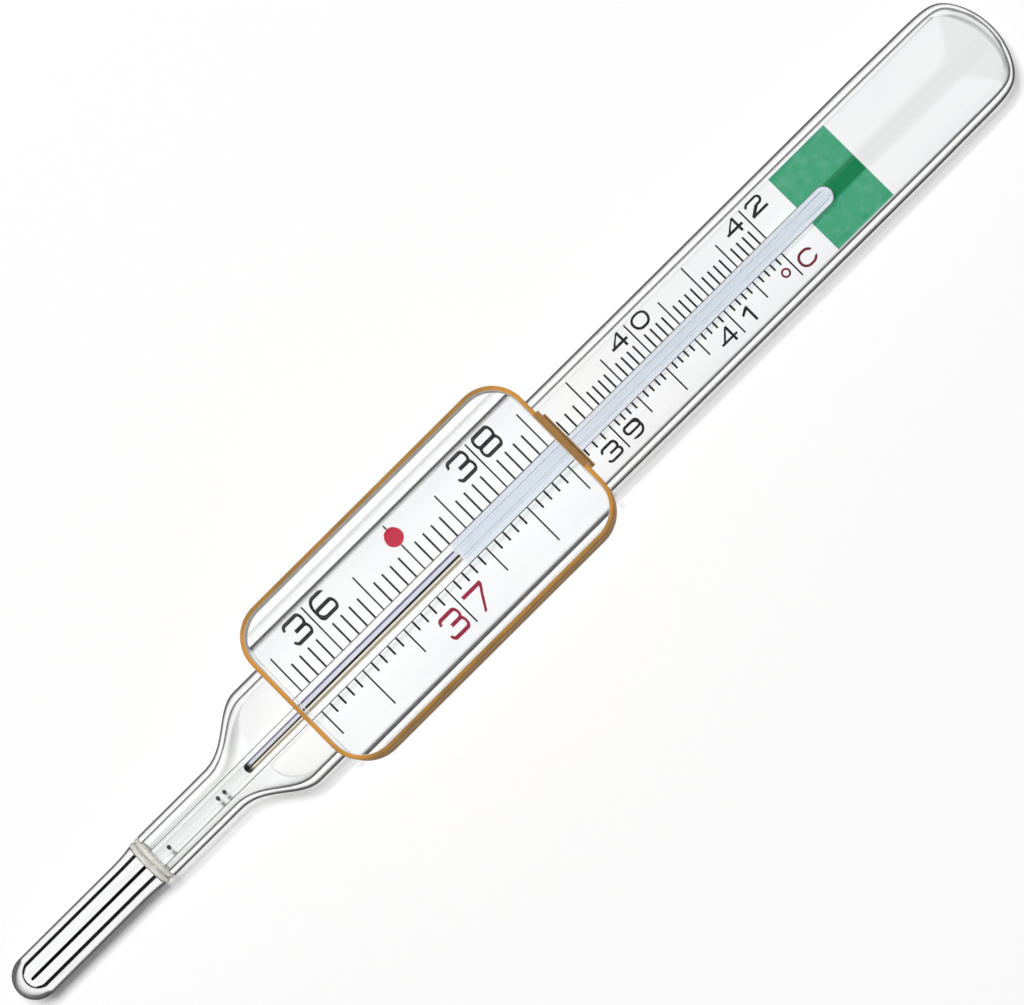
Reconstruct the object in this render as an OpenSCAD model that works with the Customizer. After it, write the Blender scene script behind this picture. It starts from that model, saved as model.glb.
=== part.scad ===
// Clinical maximum thermometer in an oval glass sheath, with a bar magnifier that slides along it.
// Millimetres. X runs along the stem to the closed top end, Z points out of the scale face,
// and the flat back of the barrel lies on Z = 0.

/* [Overall] */
// Length from the tip of the bulb to the closed top end
overall_length = 127; // [122:0.5:135]

/* [Glass sheath] */
// Width of the oval barrel
barrel_w = 11.6; // [11:0.1:12.4]
// Thickness of the oval barrel, back to front
barrel_t = 7; // [6.6:0.1:7.6]
// Radius of the gently domed front
front_dome_r = 10; // [9:0.5:30]
// Wall of the barrel
sheath_wall = 0.75; // [0.6:0.05:0.9]
// Outer diameter of the round neck
neck_d = 5; // [4.6:0.1:5.4]
// Bore of the round neck
neck_bore_d = 3.8; // [3.4:0.1:4]
// Length of the round neck
neck_length = 8.5; // [7:0.1:9.5]
// Length of the shoulder between the neck and the barrel
shoulder_length = 7.2; // [6:0.1:8.5]
// Length of the domed end that closes the barrel
end_seal_length = 3.6; // [2.9:0.1:4.4]
// Radius of the dome at the top end
end_dome_r = 7.8; // [7:0.1:9]

/* [Bulb] */
// Outer diameter of the bulb
bulb_d = 4.4; // [4.3:0.1:4.6]
// Bore of the bulb, which holds the liquid
bulb_bore_d = 3.9; // [3.7:0.1:4]
// Length of the bulb below the weld
bulb_length = 16.8; // [15:0.1:18]
// Glass beyond the liquid at the tip of the bulb
bulb_tip_wall = 0.6; // [0.5:0.05:1.2]
// Length of the fused collar between the bulb and the neck
collar_length = 1.2; // [0.8:0.1:1.6]
// Passage through the collar
collar_bore_d = 0.6; // [0.55:0.05:0.9]
// Shank of the constriction pin in the bulb
pin_d = 0.44; // [0.36:0.02:0.5]
// Fine end of the constriction pin in the bore of the capillary
pin_tip_d = 0.14; // [0.1:0.01:0.16]
// How far the pin reaches into the capillary
pin_reach = 1; // [0.6:0.1:3]

/* [Capillary] */
// Outer diameter of the capillary tube
capillary_d = 2; // [1.8:0.05:2.05]
// How far the capillary lies off the middle of the plate, towards -Y
capillary_offset = 0.25; // [0:0.05:0.25]
// Width of the flat bore of the capillary tube
bore_w = 0.7; // [0.7:0.02:0.8]
// Height of the flat bore
bore_h = 0.2; // [0.18:0.01:0.26]
// Closed glass at the top of the capillary
capillary_cap = 0.8; // [0.6:0.1:1.2]
// Distance from the last mark of the scale to the top of the capillary
capillary_overrun = 7.4; // [5:0.1:9]
// Clearance between the thread of liquid and the bore, all round
thread_clearance = 0.02; // [0.01:0.005:0.03]
// Solid tip that leads the thread of liquid
thread_tip_length = 0.8; // [0.5:0.1:1.2]
// Distance from the bulb end of the plate to the lower end of the thread, down the neck
thread_root = 2; // [1:0.1:2.5]

/* [Scale] */
// Width of the scale plate
plate_w = 9.5; // [8.6:0.1:9.6]
// Thickness of the scale plate
plate_t = 0.3; // [0.2:0.05:0.4]
// Corner radius at the lower end of the plate
plate_corner_r = 3.2; // [3:0.1:3.6]
// How far the plate reaches down into the shoulder
plate_into_shoulder = 2.2; // [1.6:0.1:2.4]
// Gap between the round top end of the plate and the glass
plate_end_gap = 0.5; // [0.4:0.1:2]
// Gap between the plate and the capillary that lies on it
capillary_seat = 0.02; // [0.01:0.01:0.04]
// Thickness of the printed marks
print_t = 0.015; // [0.01:0.001:0.018]
// Millimetres per degree on the stretched lower range
lower_pitch = 10.7; // [10.4:0.005:11.2]
// Millimetres per degree on the upper range
upper_pitch = 7.535; // [7:0.005:7.8]
// Distance from the start of the straight barrel to the 37 degree mark
mark_37_stand = 20.68; // [20:0.02:21.6]
// Temperature shown by the thread, in tenths of a degree
reading = 373; // [360:1:384]
// Width of a short line, one tenth of a degree
short_line = 0.2; // [0.14:0.01:0.24]
// Width of a long line, a whole or half degree
long_line = 0.16; // [0.12:0.01:0.24]
// Stroke of the digits
digit_stroke = 0.26; // [0.2:0.01:0.32]
// Height of the digits
digit_h = 1.75; // [1.4:0.05:1.9]
// Width of a digit on the upper range
digit_w_upper = 1.9; // [1.6:0.05:2.2]
// Width of a digit on the lower range
digit_w_lower = 2.3; // [2:0.05:2.8]
// Length of the coloured band below the top of the capillary
band_length = 7.2; // [5:0.1:9]
// Distance from the top of the capillary to the upper edge of the band
band_overrun = 3.8; // [2:0.1:6]
// Thickness of the coloured band
band_t = 0.015; // [0.01:0.001:0.018]

/* [Magnifier] */
// Length of the lens frame along the stem
frame_length = 34.5; // [30:0.5:36]
// Width of the lens frame across the stem
frame_w = 18; // [17:0.1:19.5]
// Outer corner radius of the frame
frame_corner_r = 3.8; // [3:0.1:4.5]
// Width of the rim round the lens
rim_w = 0.45; // [0.4:0.05:0.9]
// How far the rim stands past the lens, above and below
rim_lip = 0.3; // [0.2:0.05:0.6]
// Depth to which the lens sits in the rim
lens_seat = 0.15; // [0.1:0.01:0.2]
// Clearance round the lens in its seat
lens_clearance = 0.04; // [0.02:0.01:0.06]
// Radius of both faces of the bar lens
lens_r = 24; // [21:0.5:32]
// How far the crown of the lens lies off the middle of the frame, towards -Y
lens_crown_offset = 1.2; // [0:0.1:1.6]
// Thickness of the lens at its thinner long edge
lens_edge = 1; // [0.9:0.1:2]
// Gap between the lens and the front of the barrel
lens_gap = 1; // [0.8:0.1:2]
// Distance from the lower edge of the frame to the start of the straight barrel
frame_stand = 3.5; // [3:0.1:6]
// Thickness of a saddle along the stem
saddle_t = 0.5; // [0.4:0.1:2.4]
// Wall of a saddle round its pad
saddle_wall = 1.3; // [1:0.1:1.6]
// Height of the saddle lips above the table
saddle_lift = 0.8; // [0.6:0.1:1.4]
// Thickness of the grip pad in a saddle
pad_t = 0.4; // [0.3:0.05:0.6]
// Gap between a pad and its saddle
pad_fit = 0.02; // [0.01:0.01:0.04]
// Clearance between a pad and the barrel
slide_clearance = 0.12; // [0.08:0.01:0.2]
// Width of the friction spring
spring_w = 6.6; // [4:0.1:8]
// Thickness of the friction spring
spring_t = 0.25; // [0.2:0.05:0.35]
// Radius of the rolled foot of the spring
spring_foot_r = 0.3; // [0.25:0.05:0.4]

/* [Hidden] */
$fn = 96;
eps = 0.01;

// Stations along the stem, from the tip of the bulb to the top end
axis_z = barrel_t / 2;
tip_x = -overall_length / 2;
end_x = overall_length / 2;
collar_x = tip_x + bulb_length;
neck_x = collar_x + collar_length;
shoulder_x = neck_x + neck_length;
barrel_x = shoulder_x + shoulder_length;
seal_x = end_x - end_seal_length;

// The shoulder is a loft, so it stays a hair inside the turned neck and the drawn barrel that it joins
loft_inset = 0.03;
loft_rings = 14;
loft_sides = 48;
shoulder_skew = 1.15;

// The scale: a stretched lower range under the magnifier and a plain upper range
// Marks are counted in tenths of a degree
tenths = 10;
first_mark = 355;
dot_mark = 370;
range_change = 390;
last_mark = 420;
dot_mark_x = barrel_x + mark_37_stand;
change_x = dot_mark_x + (range_change - dot_mark) / tenths * lower_pitch;
last_mark_x = mark_x(last_mark);
reading_x = mark_x(reading);

// Plate, capillary and band
plate_top_z = axis_z - capillary_d / 2 - capillary_seat;
plate_x0 = barrel_x - plate_into_shoulder;
plate_end_r = end_dome_r - sheath_wall - plate_end_gap;
plate_x1 = end_x - end_dome_r + plate_end_r;
capillary_x1 = last_mark_x + capillary_overrun;
thread_w = bore_w - 2 * thread_clearance;
thread_h = bore_h - 2 * thread_clearance;
thread_x0 = plate_x0 - thread_root;
thread_x1 = reading_x - thread_tip_length;
band_x1 = capillary_x1 + band_overrun;
band_x0 = band_x1 - band_length;
// Droplets, as shares of the way from the tip of the pin to the thread, and their size
bead_stations = [0.04, 0.65, 0.73];
bead_w = thread_w / 2;
bead_length = 0.4;

// Ends of the marks on each side of the capillary, from the axis: inner, tenth, half and whole degree
left_ends = [0.55, 2.47, 3.68, 4.6];
right_ends = [1.02, 1.87, 3.12, 4.03];
left_digit_y = 2.87;
right_digit_stand = 2.22;
right_digit_y = -right_digit_stand - digit_h;
digit_gap = 1;
digit_round = 0.46;
dot_w = 1.85;
dot_h = 1.32;
dot_y = 3.6;

// The magnifier, from the barrel outwards
lens_length = frame_length - 2 * rim_w + 2 * lens_seat;
lens_w = frame_w - 2 * rim_w + 2 * lens_seat;
lens_corner_r = frame_corner_r - rim_w + lens_seat;
lens_sag = lens_r - sqrt(lens_r * lens_r - pow(lens_w / 2 + lens_crown_offset, 2));
lens_z = barrel_t + lens_gap + lens_sag + lens_edge / 2;
lens_height = lens_edge + 2 * lens_sag;
frame_z0 = lens_z - lens_height / 2 - rim_lip;
frame_z1 = lens_z + lens_height / 2 + rim_lip;
frame_x0 = barrel_x + frame_stand;
frame_x1 = frame_x0 + frame_length;
frame_x = (frame_x0 + frame_x1) / 2;
pad_inner = slide_clearance;
pad_outer = slide_clearance + pad_t;
saddle_inner = pad_outer + pad_fit;
saddle_outer = saddle_inner + saddle_wall;

glass_colour = [0.86, 0.92, 0.9, 0.35];
liquid_colour = [0.75, 0.76, 0.78];
orange = [0.86, 0.52, 0.16];

// Place of a mark along the stem
function mark_x(mark) =
    mark <= range_change
        ? dot_mark_x + (mark - dot_mark) / tenths * lower_pitch
        : change_x + (mark - range_change) / tenths * upper_pitch;

// Radius of a straight-sided oval of width w and thickness t, at angle a from its middle
function stadium_r(a, w, t) =
    let (end_r = t / 2, half_flat = w / 2 - end_r, rise = max(abs(sin(a)), eps))
    end_r / rise * abs(cos(a)) <= half_flat
        ? end_r / rise
        : half_flat * abs(cos(a)) + sqrt(end_r * end_r - pow(half_flat * sin(a), 2));

// Radius of the same oval with its front trimmed to a dome of radius d
function oval_r(a, w, t, d) =
    let (centre = t / 2 - d)
    min(stadium_r(a, w, t), centre * sin(a) + sqrt(d * d - pow(centre * cos(a), 2)));

// Share of the way from the neck to the barrel, along the shoulder
function shoulder_ease(s) = 0.5 - 0.5 * cos(180 * pow(s, shoulder_skew));

// Ring of points round the shoulder, s of the way along it, grown by g from the glass surface
function shoulder_ring(s, wall, neck_r, g) = [
    for (i = [0:loft_sides - 1])
        let (
            a = 360 * i / loft_sides,
            full_r = oval_r(a, barrel_w - 2 * wall, barrel_t - 2 * wall, front_dome_r - wall),
            r = neck_r + (full_r - neck_r) * shoulder_ease(s) + g
        )
        [shoulder_x + s * shoulder_length, r * cos(a), axis_z + r * sin(a)]
];

// Triangles between two rings of n points that start at a and b
function band_faces(a, b, n) = [
    for (i = [0:n - 1])
        let (j = (i + 1) % n)
        each [[a + i, b + i, b + j], [a + i, b + j, a + j]]
];

// A rectangle between two opposite corners
module patch(x0, y0, x1, y1) {
    translate([x0, y0]) square([x1 - x0, y1 - y0]);
}

module rounded_rect(w, h, r) {
    for (x = [-1, 1], y = [-1, 1])
        translate([x * (w / 2 - r), y * (h / 2 - r)]) circle(r);
    square([w, h - 2 * r], center = true);
    square([w - 2 * r, h], center = true);
}

// Outline of a rounded frame whose lower left corner is at the origin
module glyph_ring(w, h, s) {
    r = min(w, h) * digit_round;
    translate([w / 2, h / 2]) difference() {
        rounded_rect(w, h, r);
        rounded_rect(w - 2 * s, h - 2 * s, max(r - s, s / 4));
    }
}

// Upper and lower loops of a digit, which share their middle stroke
module upper_loop(w, h, s) {
    translate([0, h / 2 - s / 2]) glyph_ring(w, h / 2 + s / 2, s);
}

module lower_loop(w, h, s) {
    glyph_ring(w, h / 2 + s / 2, s);
}

// One digit of width w and height h in strokes of width s
module digit(d, w, h, s) {
    if (d == 0) glyph_ring(w, h, s);
    if (d == 1) {
        stem = w * 0.55;
        flag = [w * 0.2, h * 0.62];
        patch(stem, 0, stem + s, h);
        polygon([[stem + eps, h], [stem + eps, h - s * 1.3], flag, flag + [0, s]]);
    }
    if (d == 2) {
        hook = h * 0.38;
        difference() {
            translate([0, hook]) glyph_ring(w, h - hook, s);
            patch(-eps, 0, w * 0.54, h * 0.7);
        }
        polygon([[w * 0.6, hook], [w * 0.5, hook + s], [0, s], [0, 0], [s * 1.5, s * 0.6]]);
        patch(0, 0, w, s);
    }
    if (d == 3) {
        difference() {
            union() {
                upper_loop(w, h, s);
                lower_loop(w, h, s);
            }
            patch(-eps, h * 0.26, w * 0.36, h * 0.74);
        }
    }
    if (d == 4) {
        stem = w * 0.68;
        bar = h * 0.24;
        patch(stem, 0, stem + s, h);
        patch(0, bar, w, bar + s);
        polygon([[0, bar + eps], [s * 1.2, bar + eps], [stem + eps, h - s], [stem + eps, h]]);
    }
    if (d == 6) {
        lower_loop(w, h, s);
        difference() {
            glyph_ring(w, h, s);
            patch(w / 2, -eps, w + eps, h - s);
        }
    }
    if (d == 7) {
        patch(0, h - s, w, h);
        polygon([[w, h - s + eps], [w - s * 1.3, h - s + eps], [w * 0.26, 0], [w * 0.26 + s * 1.1, 0]]);
    }
    if (d == 8) {
        upper_loop(w, h, s);
        lower_loop(w, h, s);
    }
    if (d == 9) {
        upper_loop(w, h, s);
        difference() {
            glyph_ring(w, h, s);
            patch(-eps, s, w / 2, h + eps);
        }
    }
}

// The two digits of a whole degree, one on each side of its line
module numeral(degrees, y) {
    mark = degrees * tenths;
    w = mark < range_change ? digit_w_lower : digit_w_upper;
    translate([mark_x(mark) - digit_gap / 2 - w, y]) digit(floor(degrees / 10), w, digit_h, digit_stroke);
    translate([mark_x(mark) + digit_gap / 2, y]) digit(degrees % 10, w, digit_h, digit_stroke);
}

// The oval dot on the 37 degree line, grown by g
module dot_form(g) {
    translate([dot_mark_x, dot_y])
        polygon([for (a = [0:7.5:352.5]) [(dot_w / 2 + g) * cos(a), (dot_h / 2 + g) * sin(a)]]);
}

// A flat print on the plate
module printed(t) {
    translate([0, 0, plate_top_z]) linear_extrude(t) children();
}

// Section across the barrel, grown by g, with the flat back at the bottom
module oval(g) {
    t = barrel_t + 2 * g;
    half_flat = barrel_w / 2 - barrel_t / 2;
    translate([0, axis_z]) intersection() {
        union() {
            square([2 * half_flat, t], center = true);
            for (side = [-1, 1])
                translate([side * half_flat, 0]) circle(t / 2);
        }
        translate([0, barrel_t / 2 - front_dome_r]) circle(front_dome_r + g);
    }
}

// A section across the barrel drawn along the stem from x to x + length
module along_stem(x, length) {
    translate([x, 0, 0]) rotate([90, 0, 90]) linear_extrude(length) children();
}

// Moves a form from the axis of the stem to that of the capillary
module in_capillary() {
    translate([0, -capillary_offset, 0]) children();
}

// Flat oval section across the stem, as the bore of the capillary has
module flat_oval(w, h) {
    translate([0, axis_z]) {
        square([w - h, h], center = true);
        for (side = [-1, 1])
            translate([side * (w - h) / 2, 0]) circle(h / 2);
    }
}

// A round bar on the axis of the stem
module stem_bar(x, length, d, d_end) {
    translate([x, 0, axis_z]) rotate([0, 90, 0]) cylinder(h = length, d1 = d, d2 = d_end);
}

module shoulder_loft() {
    last = loft_rings;
    n = loft_sides;
    inside = (last + 1) * n;
    outer = [for (k = [0:last]) each shoulder_ring(k / last, 0, neck_d / 2, -loft_inset)];
    inner = [for (k = [0:last]) each shoulder_ring(k / last, sheath_wall, neck_bore_d / 2, loft_inset)];
    faces = concat(
        [for (k = [0:last - 1]) each band_faces(k * n, (k + 1) * n, n)],
        [for (k = [0:last - 1]) each band_faces(inside + (k + 1) * n, inside + k * n, n)],
        band_faces(last * n, inside + last * n, n),
        band_faces(inside, 0, n)
    );
    polyhedron(points = concat(outer, inner), faces = faces, convexity = 6);
}

module glass_sheath() {
    color(glass_colour) {
        difference() {
            stem_bar(neck_x, neck_length, neck_d, neck_d);
            stem_bar(neck_x - 1, neck_length + 2, neck_bore_d, neck_bore_d);
        }
        shoulder_loft();
        along_stem(barrel_x, seal_x - barrel_x) difference() {
            oval(0);
            oval(-sheath_wall);
        }
    }
}

// The barrel's section, shrunk by g and rounded off at the top end in plan and in side view
module end_form(g) {
    intersection() {
        along_stem(seal_x - (g > 0 ? 1 : 0), end_seal_length + 1) oval(-g);
        translate([end_x - end_dome_r, 0, 0]) cylinder(h = barrel_t, r = end_dome_r - g);
        translate([end_x - end_dome_r, barrel_w, axis_z]) rotate([90, 0, 0])
            cylinder(h = 2 * barrel_w, r = end_dome_r - g);
    }
}

module end_seal() {
    color(glass_colour) difference() {
        end_form(0);
        end_form(sheath_wall);
    }
}

module weld_collar() {
    bead_r = collar_length / 2;
    color(glass_colour) difference() {
        translate([collar_x, 0, axis_z]) rotate([0, 90, 0]) rotate_extrude() {
            square([neck_d / 2 - bead_r, collar_length]);
            translate([neck_d / 2 - bead_r, bead_r]) intersection() {
                circle(bead_r);
                translate([0, -bead_r]) square([bead_r, collar_length]);
            }
        }
        stem_bar(collar_x - 1, collar_length + 2, collar_bore_d, collar_bore_d);
    }
}

// Round-ended bar from x to the collar: the bulb's outside, and the liquid in it
module bulb_form(x, d) {
    stem_bar(x + d / 2, collar_x - x - d / 2, d, d);
    translate([x + d / 2, 0, axis_z]) sphere(d = d);
}

module bulb_glass() {
    color(glass_colour) difference() {
        bulb_form(tip_x, bulb_d);
        bulb_form(tip_x + bulb_tip_wall, bulb_bore_d);
        stem_bar(collar_x - eps, 1, bulb_bore_d, bulb_bore_d);
    }
}

module bulb_liquid() {
    color(liquid_colour) difference() {
        bulb_form(tip_x + bulb_tip_wall + thread_clearance, bulb_bore_d - 2 * thread_clearance);
        stem_bar(tip_x, bulb_length + 1, pin_d + 2 * thread_clearance, pin_d + 2 * thread_clearance);
    }
}

module constriction_pin() {
    x0 = tip_x + bulb_tip_wall + pin_d / 2;
    color([0.9, 0.93, 0.92, 0.6]) {
        stem_bar(x0, collar_x - x0, pin_d, pin_d);
        stem_bar(collar_x, collar_length, pin_d, pin_tip_d);
        stem_bar(neck_x, pin_reach, pin_tip_d, pin_tip_d);
    }
}

module capillary_tube() {
    color([0.8, 0.86, 0.92, 0.5]) in_capillary() difference() {
        union() {
            stem_bar(neck_x, capillary_x1 - capillary_d / 2 - neck_x, capillary_d, capillary_d);
            translate([capillary_x1 - capillary_d / 2, 0, axis_z]) sphere(d = capillary_d);
        }
        along_stem(neck_x - 1, capillary_x1 - capillary_cap - neck_x + 1) flat_oval(bore_w, bore_h);
    }
}

// Droplets left in the bore between the constriction and the thread
module liquid_beads() {
    lowest = neck_x + pin_reach;
    color(liquid_colour) in_capillary() for (s = bead_stations)
        along_stem(lowest + s * (thread_x0 - lowest) - bead_length / 2, bead_length)
            flat_oval(bead_w, thread_h);
}

module liquid_thread() {
    color([0.1, 0.1, 0.12]) in_capillary()
        along_stem(thread_x0, thread_x1 - thread_x0) flat_oval(thread_w, thread_h);
}

// The tip is round in plan, where it shows
module thread_tip() {
    round_x = reading_x - thread_w / 2;
    color([0.1, 0.1, 0.12]) in_capillary() intersection() {
        along_stem(thread_x1, thread_tip_length) flat_oval(thread_w, thread_h);
        translate([0, 0, axis_z - thread_h]) linear_extrude(2 * thread_h) {
            patch(thread_x1, -thread_w / 2, round_x, thread_w / 2);
            translate([round_x, 0]) circle(thread_w / 2);
        }
    }
}

module scale_plate() {
    color([0.94, 0.94, 0.95]) translate([0, 0, plate_top_z - plate_t]) linear_extrude(plate_t) {
        intersection() {
            translate([plate_x0 + plate_corner_r, -plate_w / 2])
                square([plate_x1 - plate_x0 - plate_corner_r, plate_w]);
            union() {
                translate([plate_x0, -plate_w / 2]) square([end_x - end_dome_r - plate_x0, plate_w]);
                translate([end_x - end_dome_r, 0]) circle(plate_end_r);
            }
        }
        translate([plate_x0, plate_corner_r - plate_w / 2])
            square([plate_corner_r, plate_w - 2 * plate_corner_r]);
        for (side = [-1, 1])
            translate([plate_x0 + plate_corner_r, side * (plate_w / 2 - plate_corner_r)])
                circle(plate_corner_r);
    }
}

module colour_band() {
    color([0.24, 0.63, 0.47]) printed(band_t)
        translate([band_x0, -plate_w / 2]) square([band_length, plate_w]);
}

module black_scale_print() {
    color([0.1, 0.1, 0.1]) printed(print_t) {
        for (mark = [first_mark:last_mark]) {
            rank = mark % tenths == 0 ? 3 : (mark % (tenths / 2) == 0 ? 2 : 1);
            line = rank == 1 ? short_line : long_line;
            difference() {
                translate([mark_x(mark) - line / 2, 0]) {
                    translate([0, left_ends[0]]) square([line, left_ends[rank] - left_ends[0]]);
                    translate([0, -right_ends[rank]]) square([line, right_ends[rank] - right_ends[0]]);
                }
                if (mark == dot_mark) dot_form(print_t);
            }
        }
        for (degrees = [36:2:42]) numeral(degrees, left_digit_y);
        for (degrees = [39:2:41]) numeral(degrees, right_digit_y);
    }
}

// The red 37, its dot on the other side of the line, and the sign of the unit beside 42
module red_scale_print() {
    sign_r = digit_h * 0.27;
    color([0.75, 0.08, 0.14]) printed(print_t) {
        numeral(37, right_digit_y);
        dot_form(0);
        translate([last_mark_x - digit_gap / 2 - sign_r, right_digit_y + digit_h - sign_r]) difference() {
            circle(sign_r);
            circle(sign_r - digit_stroke * 0.75);
        }
        translate([last_mark_x + digit_gap / 2, right_digit_y]) difference() {
            glyph_ring(digit_w_upper, digit_h, digit_stroke);
            patch(digit_w_upper / 2, digit_h * 0.3, digit_w_upper + eps, digit_h * 0.7);
        }
    }
}

// The lens, grown by g all round: a rounded bar between two long cylinders
module lens_form(g) {
    intersection() {
        translate([frame_x, 0, lens_z - lens_height / 2 - 1]) linear_extrude(lens_height + 2)
            rounded_rect(lens_length + 2 * g, lens_w + 2 * g, lens_corner_r + g);
        lens_face(1, g);
        lens_face(-1, g);
    }
}

// The long cylinder that makes the upper face of the lens, or the lower one for side -1
module lens_face(side, g) {
    translate([frame_x - frame_length, -lens_crown_offset, lens_z + side * (lens_height / 2 - lens_r)])
        rotate([0, 90, 0]) cylinder(h = 2 * frame_length, r = lens_r + g);
}

module magnifier_lens() {
    color([0.9, 0.95, 1, 0.3]) lens_form(0);
}

// Half of the rim, from z0 to z1, with the seat of the lens cut into it
module rim(z0, z1) {
    difference() {
        translate([frame_x, 0, z0]) linear_extrude(z1 - z0) difference() {
            rounded_rect(frame_length, frame_w, frame_corner_r);
            rounded_rect(frame_length - 2 * rim_w, frame_w - 2 * rim_w, frame_corner_r - rim_w);
        }
        lens_form(lens_clearance);
    }
}

module lens_frame() {
    color(orange) rim(frame_z0, lens_z);
}

module lens_bezel() {
    color(orange) rim(lens_z, frame_z1);
}

// A saddle that snaps over the barrel, from x to x + saddle_t
module saddle(x) {
    half_w = barrel_w / 2 + saddle_outer;
    along_stem(x, saddle_t) difference() {
        union() {
            oval(saddle_outer);
            translate([-half_w, axis_z]) square([2 * half_w, frame_z0 - axis_z]);
        }
        oval(saddle_inner);
        translate([-frame_w, -frame_w + saddle_lift]) square([2 * frame_w, frame_w]);
        translate([-frame_w, frame_z0]) square([2 * frame_w, frame_w]);
    }
}

module upper_saddle() {
    color([0.92, 0.95, 0.97, 0.4]) saddle(frame_x1 - saddle_t);
}

module lower_saddle() {
    color([0.92, 0.95, 0.97, 0.4]) saddle(frame_x0);
}

// The grip pad that lines a saddle
module saddle_pad(x) {
    along_stem(x, saddle_t) difference() {
        oval(pad_outer);
        oval(pad_inner);
        translate([-frame_w, -frame_w + saddle_lift]) square([2 * frame_w, frame_w]);
    }
}

module upper_saddle_pad() {
    color([0.8, 0.8, 0.78]) saddle_pad(frame_x1 - saddle_t);
}

module lower_saddle_pad() {
    color([0.8, 0.8, 0.78]) saddle_pad(frame_x0);
}

// A bent strip over the upper end of the frame, whose rolled foot runs on the front of the barrel
module friction_spring() {
    foot_z = barrel_t + slide_clearance + spring_foot_r;
    color([0.55, 0.33, 0.12]) translate([0, spring_w / 2, 0]) rotate([90, 0, 0]) linear_extrude(spring_w) {
        translate([frame_x1 - rim_w, frame_z1]) square([rim_w + spring_t, spring_t]);
        translate([frame_x1, foot_z]) square([spring_t, frame_z1 + spring_t - foot_z]);
        translate([frame_x1 + spring_foot_r, foot_z]) circle(spring_foot_r);
    }
}

glass_sheath();
end_seal();
weld_collar();
bulb_glass();
bulb_liquid();
constriction_pin();
capillary_tube();
liquid_beads();
liquid_thread();
thread_tip();
scale_plate();
colour_band();
black_scale_print();
red_scale_print();
magnifier_lens();
lens_frame();
lens_bezel();
upper_saddle();
lower_saddle();
upper_saddle_pad();
lower_saddle_pad();
friction_spring();
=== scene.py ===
"""Looks of a clinical maximum thermometer: glass, liquid metal, a printed scale and a sliding bar magnifier.

Sizes are in metres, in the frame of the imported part: X runs along the stem to its closed top end,
Z points out of the scale face, and the back of the barrel lies on Z = 0.
"""

import logging
import math
from collections.abc import Callable, Sequence
from dataclasses import dataclass
from enum import Enum

import bmesh
import bpy
from mathutils import Matrix, Vector


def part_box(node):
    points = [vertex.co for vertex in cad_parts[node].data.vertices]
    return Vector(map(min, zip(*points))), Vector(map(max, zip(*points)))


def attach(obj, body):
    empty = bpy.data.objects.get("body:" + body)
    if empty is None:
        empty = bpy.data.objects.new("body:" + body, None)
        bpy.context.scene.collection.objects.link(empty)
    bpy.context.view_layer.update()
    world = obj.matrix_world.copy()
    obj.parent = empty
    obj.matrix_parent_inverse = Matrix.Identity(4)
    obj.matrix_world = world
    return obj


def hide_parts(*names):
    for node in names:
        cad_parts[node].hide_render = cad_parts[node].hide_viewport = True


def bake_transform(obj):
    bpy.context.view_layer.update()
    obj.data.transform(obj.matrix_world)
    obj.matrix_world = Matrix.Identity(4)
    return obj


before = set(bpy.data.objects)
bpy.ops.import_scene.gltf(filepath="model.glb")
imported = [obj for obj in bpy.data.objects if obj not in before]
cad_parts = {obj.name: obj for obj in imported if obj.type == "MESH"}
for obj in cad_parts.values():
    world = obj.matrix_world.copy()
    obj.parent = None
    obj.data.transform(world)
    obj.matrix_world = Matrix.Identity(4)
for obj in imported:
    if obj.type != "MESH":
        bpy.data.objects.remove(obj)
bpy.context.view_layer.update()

log = logging.getLogger("thermometer")

MM = 0.001
# HAIR is a gap too fine to see, and POLE the radius of a ring that closes to a point.
HAIR = 0.01 * MM
POLE = 1e-9
# The painted reflection on the plate runs along this line: a grey band on the white and a dark green one on
# the green band, for a dark reflection down the front of the sheath.
PAINTED_REFLECTION_Y = -0.2 * MM
Colour = tuple[float, float, float, float]
Point = tuple[float, float]
# A span holds the value where a smooth step gives 0 and the value where it gives 1.
Span = tuple[float, float]
Ring = tuple[float, Callable[[float], float]]


class Body(Enum):
    """The bodies that a piece can ride on."""

    THERMOMETER = "thermometer"
    THREAD = "thread"
    MAGNIFIER = "magnifier"


class Slot(Enum):
    """The finishes that the part's record names."""

    SHEATH_GLASS = "sheath_glass"
    WELD_GLASS = "weld_glass"
    BULB_GLASS = "bulb_glass"
    CAPILLARY_GLASS = "capillary_glass"
    LIQUID_METAL = "liquid_metal"
    PLATE_WHITE = "plate_white"
    BAND_GREEN = "band_green"
    INK_BLACK = "ink_black"
    INK_RED = "ink_red"
    LENS_CLEAR = "lens_clear"
    FRAME_ORANGE = "frame_orange"
    SADDLE_CLEAR = "saddle_clear"
    PAD_SILICONE = "pad_silicone"
    SPRING_BRONZE = "spring_bronze"


def in_mm(span: Span) -> Span:
    """A span of lengths in millimetres, as shaders take it."""
    return span[0] / MM, span[1] / MM


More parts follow.
